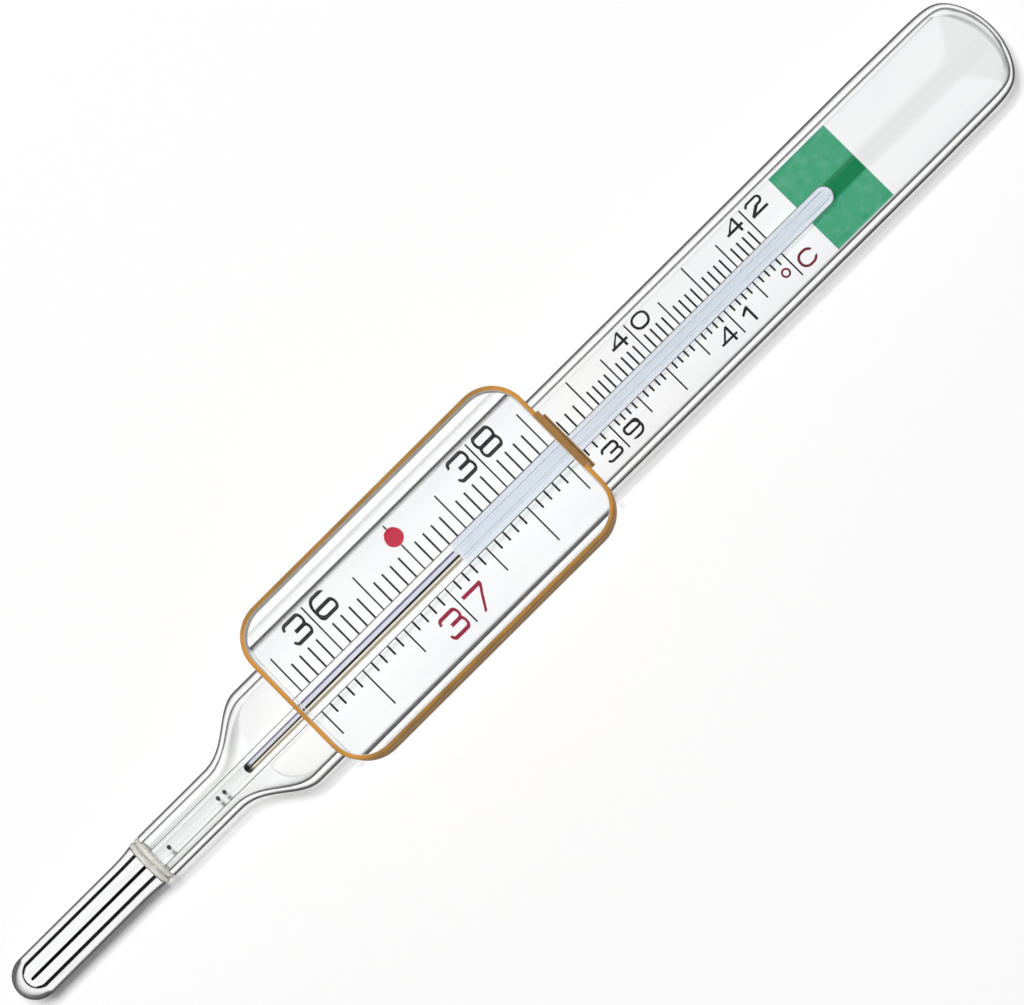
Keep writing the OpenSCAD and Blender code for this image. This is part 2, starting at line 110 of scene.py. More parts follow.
class Signal:
    """One output of a node, which can stand in a sum, a product or a power."""

    def __init__(self, graph: "Graph", socket: bpy.types.NodeSocket) -> None:
        """Keeps the socket and the graph that it is in."""
        self.graph = graph
        self.socket = socket

    def sibling(self, name: str) -> "Signal":
        """Another output of the same node."""
        return Signal(self.graph, self.socket.node.outputs[name])

    def _math(self, operation: str, first: "Operand", second: "Operand") -> "Signal":
        """A Math node on two operands."""
        return self.graph.add("ShaderNodeMath", {"operation": operation}, {0: first, 1: second})

    def __add__(self, other: "Operand") -> "Signal":
        """This value plus another."""
        return self._math("ADD", self, other)

    __radd__ = __add__

    def __sub__(self, other: "Operand") -> "Signal":
        """This value less another."""
        return self._math("SUBTRACT", self, other)

    def __rsub__(self, other: "Operand") -> "Signal":
        """Another value less this one."""
        return self._math("SUBTRACT", other, self)

    def __mul__(self, other: "Operand") -> "Signal":
        """This value times another."""
        return self._math("MULTIPLY", self, other)

    __rmul__ = __mul__

    def __truediv__(self, other: "Operand") -> "Signal":
        """This value over another."""
        return self._math("DIVIDE", self, other)

    def __pow__(self, other: "Operand") -> "Signal":
        """This value to a power."""
        return self._math("POWER", self, other)

    def size(self) -> "Signal":
        """This value without its sign."""
        return self._math("ABSOLUTE", self, 0.0)

    def at_least(self, other: "Operand") -> "Signal":
        """The larger of this value and another."""
        return self._math("MAXIMUM", self, other)

    def step(self, low: float, high: float) -> "Signal":
        """A smooth rise from 0 at low to 1 at high, or a fall where low is above high."""
        settings = {"interpolation_type": "SMOOTHSTEP"}
        inputs = {"Value": self, "From Min": low, "From Max": high}
        return self.graph.add("ShaderNodeMapRange", settings, inputs)


Operand = Signal | float


class Graph:
    """A node tree that is written as expressions."""

    def __init__(self, tree: bpy.types.NodeTree, sink: str) -> None:
        """Empties the tree and gives it its output node.

        Args:
            tree: the tree of a material or of the world.
            sink: the type of the output node.
        """
        self.tree = tree
        tree.nodes.clear()
        self.sink = tree.nodes.new(sink)

    def add(
        self,
        kind: str,
        settings: dict[str, object] | None = None,
        inputs: dict[str | int, object] | None = None,
        output: str | int = 0,
    ) -> Signal:
        """Makes one node.

        Args:
            kind: the node's type.
            settings: properties of the node, set first.
            inputs: a value or a signal for each named or numbered input.
            output: the output to return.

        Returns:
            The chosen output.
        """
        node = self.tree.nodes.new(kind)
        for key, value in (settings or {}).items():
            setattr(node, key, value)
        for key, value in (inputs or {}).items():
            if isinstance(value, Signal):
                self.tree.links.new(value.socket, node.inputs[key])
            else:
                node.inputs[key].default_value = value
        return Signal(self, node.outputs[output])

    def surface(self, shader: Signal) -> None:
        """Sends a shader to the output node."""
        self.tree.links.new(shader.socket, self.sink.inputs["Surface"])

    def place(self, stretch: Sequence[float] = (1, 1, 1)) -> Signal:
        """Object coordinates in millimetres, with each axis stretched.

        Args:
            stretch: a factor for each axis; under 1 draws a pattern out along it.

        Returns:
            The coordinates.
        """
        coordinates = self.add("ShaderNodeTexCoord", output="Object")
        scale = [s / MM for s in stretch]
        return self.add("ShaderNodeMapping", None, {"Vector": coordinates, "Scale": scale})

    def axis(self, name: str) -> Signal:
        """One of the object coordinates, in millimetres."""
        return self.add("ShaderNodeSeparateXYZ", None, {"Vector": self.place()}, name)

    def noise(self, stretch: Sequence[float], detail: float = 2.0) -> Signal:
        """Soft noise from 0 to 1.

        Args:
            stretch: how many blotches there are per millimetre along each axis.
            detail: octaves of finer noise.

        Returns:
            The noise value.
        """
        inputs = {"Vector": self.place(stretch), "Scale": 1.0, "Detail": detail}
        return self.add("ShaderNodeTexNoise", None, inputs)

    def mix(self, share: Operand, first: object, second: object) -> Signal:
        """A colour between two.

        Args:
            share: 0 for the first colour and 1 for the second.
            first: a colour or a signal.
            second: a colour or a signal.

        Returns:
            The mixed colour.
        """
        return self.add("ShaderNodeMix", {"data_type": "RGBA"}, {0: share, 6: first, 7: second}, 2)

    def blend(self, share: Operand, first: Signal, second: Signal) -> Signal:
        """A shader between two, at a share of the second."""
        return self.add("ShaderNodeMixShader", None, {0: share, 1: first, 2: second})

    def bump(self, height: Signal, depth: float) -> Signal:
        """A normal bent by a height that runs from 0 to 1 over a depth in metres."""
        return self.add("ShaderNodeBump", None, {"Height": height, "Strength": 1.0, "Distance": depth})

    def principled(self, inputs: dict[str | int, object]) -> Signal:
        """A Principled shader with these inputs."""
        return self.add("ShaderNodeBsdfPrincipled", None, inputs)

    def matt(self, colour: object) -> Signal:
        """A plain matt shader of a colour or a signal."""
        return self.principled({"Base Color": colour, "Roughness": 0.9, "Specular IOR Level": 0.0})

    def rays(self, *names: str) -> Signal:
        """1 for rays of any of the named kinds, such as Is Camera Ray."""
        path = self.add("ShaderNodeLightPath", output=names[0])
        total = path
        for name in names[1:]:
            total = total.at_least(path.sibling(name))
        return total


@dataclass(frozen=True)
class Finish:
    """A finish of one surface, under a name of its own."""

    name: str

    def material(self) -> bpy.types.Material:
        """The material of this finish, made once."""
        made = bpy.data.materials.get(self.name)
        if made is None:
            made = bpy.data.materials.new(self.name)
            made.use_nodes = True
            self.paint(Graph(made.node_tree, "ShaderNodeOutputMaterial"))
        return made

    def paint(self, graph: Graph) -> None:
        """Writes the nodes of the finish into an empty graph."""
        raise NotImplementedError


@dataclass(frozen=True)
class ClearFinish(Finish):
    """Clear glass or acrylic, with draw lines along the stem, faint smears and a painted dark outline on its
    flanks.
    """

    tint: Colour
    # The outline tint, share and spans below paint shade: a matt grey that Fresnel mixes in where the flanks
    # are seen edge-on, for the dark that the glass refracts there.
    painted_outline_tint: Colour = (0.13, 0.13, 0.13, 1)
    painted_outline_share: float = 0.95
    milk: Colour = (0.93, 0.92, 0.86, 1)
    milk_share: float = 0.0
    glare: Colour = (0.25, 0.25, 0.25, 1)
    faint: float = 0.0
    mid_z: float = 3.5 * MM
    ior: float = 1.48
    draw_line: float = 0.00015 * MM
    draw_pitch: float = 0.9
    smear: float = 0.012
    shade: float = 0.03
    edge: float = 0.78
    edge_fade: float = 0.3
    painted_outline_fresnel: Span = (0.07, 0.22)
    total_mirror: Span = (1.0, 0.97)
    painted_outline_flank: Span = (1.7 * MM, 0.9 * MM)

    def paint(self, graph: Graph) -> None:
        """Writes the finish."""
        graph.surface(self.glass(graph))

    def glass(self, graph: Graph) -> Signal:
        """The glass with a painted dark outline, a matt grey that Fresnel mixes in where its flanks are seen
        edge-on, and the light that its shadow lets through.

        Args:
            graph: the graph to write into.

        Returns:
            The shader.
        """
        lines = graph.noise((0.03, self.draw_pitch, self.draw_pitch))
        smears = graph.noise((0.12, 0.3, 0.3)).step(0.52, 0.78)
        grazing = graph.add("ShaderNodeLayerWeight", None, {"Blend": 0.5}, "Facing")
        glass = graph.principled({
            "Base Color": self.tint,
            "Roughness": self.smear * smears,
            "IOR": self.ior,
            "Transmission Weight": 1.0,
            "Specular Tint": self.glare,
            "Normal": graph.bump(lines, self.draw_line),
        })
        mirror = graph.add("ShaderNodeFresnel", None, {"IOR": self.ior})
        # Painted shade: a dark outline mixed in on the flanks that are seen edge-on.
        painted_outline_flank = (graph.axis("Z") - self.mid_z / MM).size().step(*in_mm(self.painted_outline_flank))
        rim = mirror.step(*self.painted_outline_fresnel) * mirror.step(*self.total_mirror) * painted_outline_flank * self.painted_outline_share
        with_painted_outline = graph.blend(rim, self.clouded(graph, glass), graph.matt(self.painted_outline_tint))
        thin = grazing.step(self.edge, self.edge - self.edge_fade) * (1 - self.shade)
        clear = (graph.rays("Is Shadow Ray", "Is Diffuse Ray") * thin).at_least(self.faint)
        return graph.blend(clear, with_painted_outline, graph.add("ShaderNodeBsdfTransparent"))

    def clouded(self, graph: Graph, glass: Signal) -> Signal:
        """The glass with the milk of a fused joint in it, if it has any."""
        if self.milk_share == 0:
            return glass
        cloud = graph.noise((1.2, 1.2, 1.2), 3.0).step(0.3, 0.7)
        return graph.blend(self.milk_share * (0.6 + 0.4 * cloud), glass, graph.matt(self.milk))


@dataclass(frozen=True)
class GroundFinish(ClearFinish):
    """Clear plastic that is ground matt past a line, as a bar lens is along its steep side."""

    ground: Colour = (0.97, 0.97, 0.96, 1)
    ground_y: Span = (0.0, 0.0)

    def clouded(self, graph: Graph, glass: Signal) -> Signal:
        """The clear plastic and, past the line, the white of the ground margin."""
        grain = graph.noise((6.0, 6.0, 6.0), 3.0)
        past = graph.axis("Y").step(*in_mm(self.ground_y))
        return graph.blend(past * (0.9 + 0.1 * grain), glass, graph.matt(self.ground))


@dataclass(frozen=True)
class BackedFinish(ClearFinish):
    """Clear glass with white enamel down its back, as a capillary has behind its bore."""

    enamel: Colour = (0.76, 0.8, 0.87, 1)
    white: Colour = (0.93, 0.93, 0.92, 1)
    # The grey line is painted shade, for the dark line down the middle of the empty bore.
    line: Colour = (0.5, 0.53, 0.58, 1)
    back_z: float = 0.0
    back_fade: Span = (0.06 * MM, -0.06 * MM)
    centre: float = 0.0
    painted_bore_line_half: Span = (0.05 * MM, 0.015 * MM)
    blue_x: float = 0.0
    blue_fade: Span = (-0.6 * MM, 0.6 * MM)

    def paint(self, graph: Graph) -> None:
        """Writes the glass and its enamel: white, then blue with a painted shade along its middle, a grey
        line for the dark line that the empty bore shows.
        """
        back = (graph.axis("Z") - self.back_z / MM).step(*in_mm(self.back_fade))
        across = (graph.axis("Y") - self.centre / MM).size()
        patch = graph.noise((0.25, 1.5, 1.5)).step(0.3, 0.7)
        blue = (graph.axis("X") - self.blue_x / MM).step(*in_mm(self.blue_fade))
        # Painted shade: a grey line down the middle, where the empty bore shows a dark line.
        painted_bore_line = across.step(*in_mm(self.painted_bore_line_half)) * (0.5 + 0.5 * patch) * blue
        enamel = graph.matt(graph.mix(painted_bore_line, graph.mix(blue, self.white, self.enamel), self.line))
        covered = back * (1 - graph.rays("Is Shadow Ray"))
        graph.surface(graph.blend(covered, self.glass(graph), enamel))


@dataclass(frozen=True)
class LiquidFinish(Finish):
    """Bright liquid metal with a faint dull film."""

    colour: Colour
    film: Colour
    gloss: float = 0.03

    def paint(self, graph: Graph) -> None:
        """Writes the metal and its film."""
        film = graph.noise((0.25, 1.2, 1.2)).step(0.45, 0.8)
        graph.surface(graph.principled({
            "Base Color": graph.mix(film, self.colour, self.film),
            "Metallic": 1.0,
            "Roughness": self.gloss + 0.05 * film,
        }))


@dataclass(frozen=True)
class ThreadReflectionFinish(Finish):
    """The ribbon of liquid metal in the bore, its reflections painted on: lilac and cream, with three dark
    lines and a black root.
    """

    lilac: Colour
    cream: Colour
    middle: Colour
    left: Colour
    right: Colour
    centre: float
    half_width: float
    root_x: float
    root_fade: Span = (1.0 * MM, 0.4 * MM)
    left_at: Span = (0.62, 0.74)
    right_at: tuple[Span, Span] = ((-0.54, -0.64), (-0.92, -0.82))
    middle_at: tuple[Span, Span] = ((-0.32, -0.22), (0.12, 0.02))
    cream_at: Span = (-0.05, -0.15)

    def paint(self, graph: Graph) -> None:
        """Writes the painted reflections of the metal, with its three dark lines, which lie at shares of the
        half width.
        """
        across = (graph.axis("Y") - self.centre / MM) / (self.half_width / MM)
        left = across.step(*self.left_at)
        right = across.step(*self.right_at[0]) * across.step(*self.right_at[1])
        middle = across.step(*self.middle_at[0]) * across.step(*self.middle_at[1])
        root = (graph.axis("X") - self.root_x / MM).step(*in_mm(self.root_fade))
        film = graph.noise((0.3, 2, 2))
        # Painted reflections: lilac, cream and the dark lines stand for what the metal mirrors.
        metal = graph.mix(across.step(*self.cream_at), self.lilac, self.cream)
        fringed = graph.mix(right, graph.mix(left, metal, self.left), self.right)
        graph.surface(graph.principled({
            "Base Color": graph.mix(middle.at_least(root), fringed, self.middle),
            "Metallic": 0.1,
            "Roughness": 0.4 + 0.15 * film,
            "Specular IOR Level": 0.2,
        }))


@dataclass(frozen=True)
class EnamelFinish(Finish):
    """Satin white plate with a faint lilac cast, fine mottling and a painted reflection: a grey band down its
    middle past the capillary.
    """

    white: Colour
    cast: Colour
    # Painted reflection: a grey band down the middle past the capillary, widening near the top end.
    painted_reflection: Colour
    painted_reflection_half: Span = (1.5 * MM, 0.5 * MM)
    painted_reflection_x: Span = (42.5 * MM, 43.5 * MM)
    reflection_flare_x: float = 57.5 * MM
    reflection_flare_growth: float = 0.35

    def paint(self, graph: Graph) -> None:
        """Writes the plate's colour, the painted reflection past its capillary, which widens near the top
        end, and its orange-peel surface.
        """
        mottle = graph.noise((0.12, 0.35, 0.35), 3.0).step(0.35, 0.75)
        # Painted reflection: the grey band widens towards the top end.
        flare = self.reflection_flare_growth * (graph.axis("X") - self.reflection_flare_x / MM).at_least(0.0) ** 2
        off_middle = (graph.axis("Y") - PAINTED_REFLECTION_Y / MM).size() - flare
        painted_reflection = off_middle.step(*in_mm(self.painted_reflection_half)) * graph.axis("X").step(*in_mm(self.painted_reflection_x))
        graph.surface(graph.principled({
            "Base Color": graph.mix(painted_reflection, graph.mix(mottle, self.white, self.cast), self.painted_reflection),
            "Roughness": 0.42 + 0.12 * mottle,
            "Specular IOR Level": 0.2,
            "Normal": graph.bump(graph.noise((3, 3, 3)), 0.002 * MM),
        }))


@dataclass(frozen=True)
class InkFinish(Finish):
    """Printing ink that covers unevenly."""

    full: Colour
    thin: Colour
    grain: float = 5.0

    def paint(self, graph: Graph) -> None:
        """Writes the ink and its thin places."""
        cover = graph.noise((self.grain, self.grain, self.grain), 3.0).step(0.4, 0.72)
        graph.surface(graph.principled({
            "Base Color": self.shade(graph, graph.mix(cover, self.full, self.thin)),
            "Roughness": 0.5 + 0.2 * cover,
            "Specular IOR Level": 0.1,
        }))

    def shade(self, graph: Graph, ink: Signal) -> Signal:
        """The ink's colour at each place, which is the same everywhere for a plain ink."""
        return ink


@dataclass(frozen=True)
class BandFinish(InkFinish):
    """Green ink with a painted reflection: a darker band along its middle."""

    # Painted reflection: a dark green band down the middle.
    painted_reflection: Colour = (0.014, 0.22, 0.085, 1)
    painted_reflection_half: Span = (1.0 * MM, 0.75 * MM)

    def shade(self, graph: Graph, ink: Signal) -> Signal:
        """Darkens the ink along the middle, as a painted reflection."""
        off_middle = (graph.axis("Y") - PAINTED_REFLECTION_Y / MM).size()
        return graph.mix(off_middle.step(*in_mm(self.painted_reflection_half)), ink, self.painted_reflection)


@dataclass(frozen=True)
class SignalInkFinish(InkFinish):
    """Red ink of the fever mark, brighter in its dot and darker in the sign of the unit."""

    dot: Colour = (0.56, 0.022, 0.06, 1)
    sign: Colour = (0.17, 0.012, 0.024, 1)
    dot_y: Span = (0.9 * MM, 1.1 * MM)
    sign_x: Span = (19 * MM, 21 * MM)

    def shade(self, graph: Graph, ink: Signal) -> Signal:
        """Picks the red of each place."""
        dotted = graph.mix(graph.axis("Y").step(*in_mm(self.dot_y)), ink, self.dot)
        return graph.mix(graph.axis("X").step(*in_mm(self.sign_x)), dotted, self.sign)


@dataclass(frozen=True)
class LacquerFinish(Finish):
    """Satin orange lacquer on the magnifier's rim, with brown streaks, painted shade browning its long sides,
    and a white inner wall.
    """

    orange: Colour
    brown: Colour
    worn: Colour
    lining: Colour
    middle: Point
    half: Point
    corner: float
    rim: float
    wall_fade: Span = (0.05 * MM, 0.02 * MM)
    # Painted shade: the rim's long sides are browner, as if shaded.
    painted_side_shade_y: Span = (7.2 * MM, 8.8 * MM)

    def inner_wall(self, graph: Graph) -> Signal:
        """A share that is 1 on the wall that faces the lens."""
        reach = []
        for name, middle, half in zip("XY", self.middle, self.half):
            past_corner = (graph.axis(name) - middle / MM).size() - (half - self.corner) / MM
            reach.append(past_corner.at_least(0) ** 2)
        past_wall = (reach[0] + reach[1]) ** 0.5 - (self.corner - self.rim) / MM
        return past_wall.step(*in_mm(self.wall_fade))

    def paint(self, graph: Graph) -> None:
        """Writes the lacquer, its streaks, the painted shade along its long sides, its worn places and the
        inner wall.
        """
        streak = graph.noise((0.35, 0.35, 1.2), 4.0).step(0.42, 0.7)
        rubbed = graph.noise((1.5, 1.5, 1.5), 3.0).step(0.62, 0.78)
        # Painted shade: browner towards the long sides, mixed with the random streaks.
        sides = graph.axis("Y").size().step(*in_mm(self.painted_side_shade_y))
        streaks_and_side_shade = 0.35 * streak + 0.6 * sides
        colour = graph.mix(rubbed * 0.6, graph.mix(streaks_and_side_shade, self.orange, self.brown), self.worn)
        graph.surface(graph.principled({
            "Base Color": graph.mix(self.inner_wall(graph), colour, self.lining),
            "Roughness": 0.45 + 0.2 * streak,
            "Specular IOR Level": 0.03,
            "Normal": graph.bump(graph.noise((2.5, 2.5, 2.5)), 0.004 * MM),
        }))


@dataclass(frozen=True)
class SiliconeFinish(Finish):
    """Milky silicone of the grip pads."""

    colour: Colour
    dust: Colour

    def paint(self, graph: Graph) -> None:
        """Writes the silicone and the dust on it."""
        dust = graph.noise((1.2, 1.2, 1.2), 4.0).step(0.5, 0.8)
        graph.surface(graph.principled({
            "Base Color": graph.mix(dust, self.colour, self.dust),
            "Roughness": 0.5 + 0.3 * dust,
            "Transmission Weight": 0.55,
            "IOR": 1.41,
        }))


@dataclass(frozen=True)
class BronzeFinish(Finish):
    """Rolled bronze strip with roll marks across it and brown tarnish."""

    bright: Colour
    tarnish: Colour

    def paint(self, graph: Graph) -> None:
        """Writes the metal, its tarnish and its roll marks."""
        tarnish = 0.35 + 0.4 * graph.noise((0.8, 0.55, 0.8), 4.0).step(0.2, 0.8)
        marks = graph.noise((9, 0.4, 9), 2.0)
        graph.surface(graph.principled({
            "Base Color": graph.mix(tarnish, self.bright, self.tarnish),
            "Metallic": 1 - 0.5 * tarnish,
            "Roughness": 0.25 + 0.35 * tarnish,
            "Normal": graph.bump(marks, 0.003 * MM),
        }))


@dataclass(frozen=True)
class FloorFinish(Finish):
    """Plain pale paper that keeps the shadow."""

    paper: Colour
    fibre: Colour
    glow: float

    def paint(self, graph: Graph) -> None:
        """Writes the paper, and the glow that lifts it to white in the picture and in reflections."""
        fibres = graph.noise((0.5, 0.5, 0.5), 3.0)
        paper = graph.matt(graph.mix(0.02 * fibres, self.paper, self.fibre))
        seen = graph.rays("Is Camera Ray", "Is Glossy Ray", "Is Transmission Ray")
        glow = graph.add("ShaderNodeEmission", None, {"Color": self.paper, "Strength": self.glow * seen})
        graph.surface(graph.add("ShaderNodeAddShader", None, {0: paper, 1: glow}))


class Blank:
    """A mesh on the bench: operators shape it, and set_down makes a piece of it."""

    TURN_STEPS = 96
    CORNER_STEPS = 14
    SHARP_ANGLE = 0.7
    CREASE_ANGLE = math.radians(28)
    MERGE_DISTANCE = 1e-7

    def __init__(self) -> None:
        """Starts with an empty mesh."""
        self.mesh = bmesh.new()

    def chain(self, points: Sequence[Sequence[float]], closed: bool = False) -> list[bmesh.types.BMEdge]:
        """Joins points by edges.

        Args:
            points: the points in order.
            closed: whether the last point joins the first.

        Returns:
            The edges.
        """
        verts = [self.mesh.verts.new(p) for p in points]
        pairs = zip(verts, verts[1:] + verts[:1]) if closed else zip(verts, verts[1:])
        return [self.mesh.edges.new(pair) for pair in pairs]

    def turn(self, outline: Sequence[Point], axis_z: float) -> None:
        """Turns an outline about the stem's axis into a closed body.

        Args:
            outline: points as (x, radius); it starts and ends on the axis, or closes on itself.
            axis_z: height of the axis.
        """
        closed = min(outline[0][1], outline[-1][1]) > HAIR
        edges = self.chain([(x, 0, axis_z + r) for x, r in outline], closed)
        verts = {v for e in edges for v in e.verts}
        bmesh.ops.spin(
            self.mesh, geom=[*verts, *edges], cent=(0, 0, axis_z), axis=(1, 0, 0),
            angle=math.tau, steps=self.TURN_STEPS, use_merge=True,
        )

    def loft(self, rings: Sequence[Ring], sides: int, axis_z: float) -> None:
        """Draws a ring along the stem, and gives it its own radius at each station.

        Args:
            rings: a station along X and the radius at an angle there, for each ring.
            sides: points round a ring.
            axis_z: height of the axis.
        """
        turned = Matrix.Translation((0, 0, axis_z)) @ Matrix.Rotation(math.pi / 2, 4, "Y")
        verts = bmesh.ops.create_circle(self.mesh, segments=sides, radius=1, matrix=turned)["verts"]
        edges = list({e for v in verts for e in v.link_edges})
        drawn = [verts]
        while len(drawn) < len(rings):
            made = bmesh.ops.extrude_edge_only(self.mesh, edges=edges)["geom"]
            verts = [g for g in made if isinstance(g, bmesh.types.BMVert)]
            fresh = set(verts)
            edges = [g for g in made if isinstance(g, bmesh.types.BMEdge) and fresh.issuperset(g.verts)]
            drawn.append(verts)
        for verts, (x, radius) in zip(drawn, rings):
            for v in verts:
                angle = math.atan2(v.co.z - axis_z, v.co.y)
                r = max(radius(angle), POLE)
                v.co = (x, r * math.cos(angle), axis_z + r * math.sin(angle))

    def sheet(
        self, centre: Sequence[float], length: float, width: float, corner: float
    ) -> bmesh.types.BMFace:
        """A flat rounded rectangle.

        Args:
            centre: its middle.
            length: its size along X.
            width: its size along Y.
            corner: the radius of its corners.

        Returns:
            The face.
        """
        matrix = Matrix.Translation(centre) @ Matrix.Diagonal((length, width, 1, 1))
        verts = bmesh.ops.create_grid(self.mesh, x_segments=1, y_segments=1, size=0.5, matrix=matrix)["verts"]
        bmesh.ops.bevel(
            self.mesh, geom=verts, offset=corner, offset_type="OFFSET", segments=self.CORNER_STEPS,
            profile=0.5, affect="VERTICES", material=-1,
        )
        return self.mesh.faces[:][-1]

    def thicken(self, faces: Sequence[bmesh.types.BMFace], along: Sequence[float]) -> None:
        """Makes a solid of flat faces by drawing them out along a vector."""
        made = bmesh.ops.extrude_face_region(self.mesh, geom=list(faces))["geom"]
        verts = [g for g in made if isinstance(g, bmesh.types.BMVert)]
        bmesh.ops.translate(self.mesh, vec=along, verts=verts)

    def shift(self, by: Sequence[float]) -> None:
        """Moves the whole mesh."""
        bmesh.ops.translate(self.mesh, vec=by, verts=self.mesh.verts[:])

    def soften(self, chosen: Callable[[bmesh.types.BMEdge], bool], radius: float, segments: int) -> None:
        """Rounds the sharp edges that are chosen.

        Args:
            chosen: says whether an edge is to be rounded.
            radius: size of the rounding.
            segments: faces across it.
        """
        self.close()
        folds = [e for e in self.mesh.edges if e.is_manifold and e.calc_face_angle() > self.SHARP_ANGLE]
        sharp = [e for e in folds if chosen(e)]
        bmesh.ops.bevel(
            self.mesh, geom=sharp, offset=radius, offset_type="OFFSET", segments=segments, profile=0.5,
            affect="EDGES", material=-1,
        )

    def close(self) -> None:
        """Merges doubled points and turns the faces outwards."""
        bmesh.ops.remove_doubles(self.mesh, verts=self.mesh.verts[:], dist=self.MERGE_DISTANCE)
        bmesh.ops.recalc_face_normals(self.mesh, faces=self.mesh.faces[:])

    def set_down(self, name: str, slot: Slot, finish: Finish, nodes: Sequence[str]) -> bpy.types.Object:
        """Makes a piece of the mesh.

        Args:
            name: the piece's name.
            slot: the record's finish that it stands for; not used.
            finish: its finish here.
            nodes: the CAD nodes that it replaces.

        Returns:
            The piece, which rides on nothing yet.
        """
        self.close()
        for face in self.mesh.faces:
            face.smooth = True
        for edge in self.mesh.edges:
            edge.smooth = not edge.is_manifold or edge.calc_face_angle() < self.CREASE_ANGLE
        data = bpy.data.meshes.new(name)
        self.mesh.to_mesh(data)
        self.mesh.free()
        data.materials.append(finish.material())
        piece = bpy.data.objects.new(name, data)
        bpy.context.scene.collection.objects.link(piece)
        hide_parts(*nodes)
        log.info("%s: %d faces, replaces %s", name, len(data.polygons), ", ".join(nodes))
        return piece


def arc(centre: Point, radius: float, start: float, stop: float, steps: int = 24) -> list[Point]:
    """Points along an arc.

    Args:
        centre: its centre.
        radius: its radius.
        start: the first angle, in degrees from the first axis.
        stop: the last angle.
        steps: the number of chords.

    Returns:
        The points, both ends among them.
    """
    turns = [math.radians(start + (stop - start) * k / steps) for k in range(steps + 1)]
    return [(centre[0] + radius * math.cos(t), centre[1] + radius * math.sin(t)) for t in turns]


def even(start: float, stop: float, steps: int) -> list[float]:
    """Evenly spaced values from start to stop, both among them."""
    return [start + (stop - start) * k / steps for k in range(steps + 1)]


def flat_oval(half_width: float, half_height: float) -> Callable[[float], float]:
    """The radius of a flat oval with round ends, at an angle.

    Args:
        half_width: its half size at angle 0.
        half_height: its half size at a right angle, which is the radius of its ends.

    Returns:
        A function of the angle.
    """
    flat = half_width - half_height

    def radius(angle: float) -> float:
        """Distance from the middle to the outline."""
        run, rise = abs(math.cos(angle)), abs(math.sin(angle))
        if rise * flat >= run * half_height:
            return half_height / rise
        return flat * run + math.sqrt(half_height**2 - (flat * rise) ** 2)

    return radius


@dataclass(frozen=True)
class Oval:
    """Section across the barrel: a flat back, a domed front, and sides that run smoothly into both."""

    width: float
    depth: float
    dome: float

    @property
    def side(self) -> float:
        """Radius of the sides, which touch the back and the dome."""
        half = (4 * self.dome - 2 * self.depth - self.width) / 2
        rest = self.width**2 / 4 - 2 * self.dome * self.depth + self.depth**2
        return math.sqrt(half**2 - rest) - half

    def grown(self, by: float) -> "Oval":
        """The section at a distance outside this one."""
        return Oval(self.width + 2 * by, self.depth + 2 * by, self.dome + by)

    def radius(self, angle: float) -> float:
        """Distance from the axis to the surface.

        Args:
            angle: the direction from the axis, with 0 along +Y and a right angle at the front.

        Returns:
            The distance.
        """
        side = self.side
        side_y, side_z = self.width / 2 - side, side - self.depth / 2
        dome_z = self.depth / 2 - self.dome
        run, rise = abs(math.cos(angle)), math.sin(angle)
        if rise < 0 and -rise * side_y >= run * self.depth / 2:
            return -self.depth / 2 / rise
        share = self.dome / (self.dome - side)
        if rise * share * side_y >= run * (dome_z + share * (side_z - dome_z)):
            middle, radius = (0.0, dome_z), self.dome
        else:
            middle, radius = (side_y, side_z), side
        toward = run * middle[0] + rise * middle[1]
        return toward + math.sqrt(toward**2 - middle[0] ** 2 - middle[1] ** 2 + radius**2)


CLEAR_GLASS = ClearFinish("drawn_sheath_glass", tint=(0.985, 0.995, 0.99, 1))


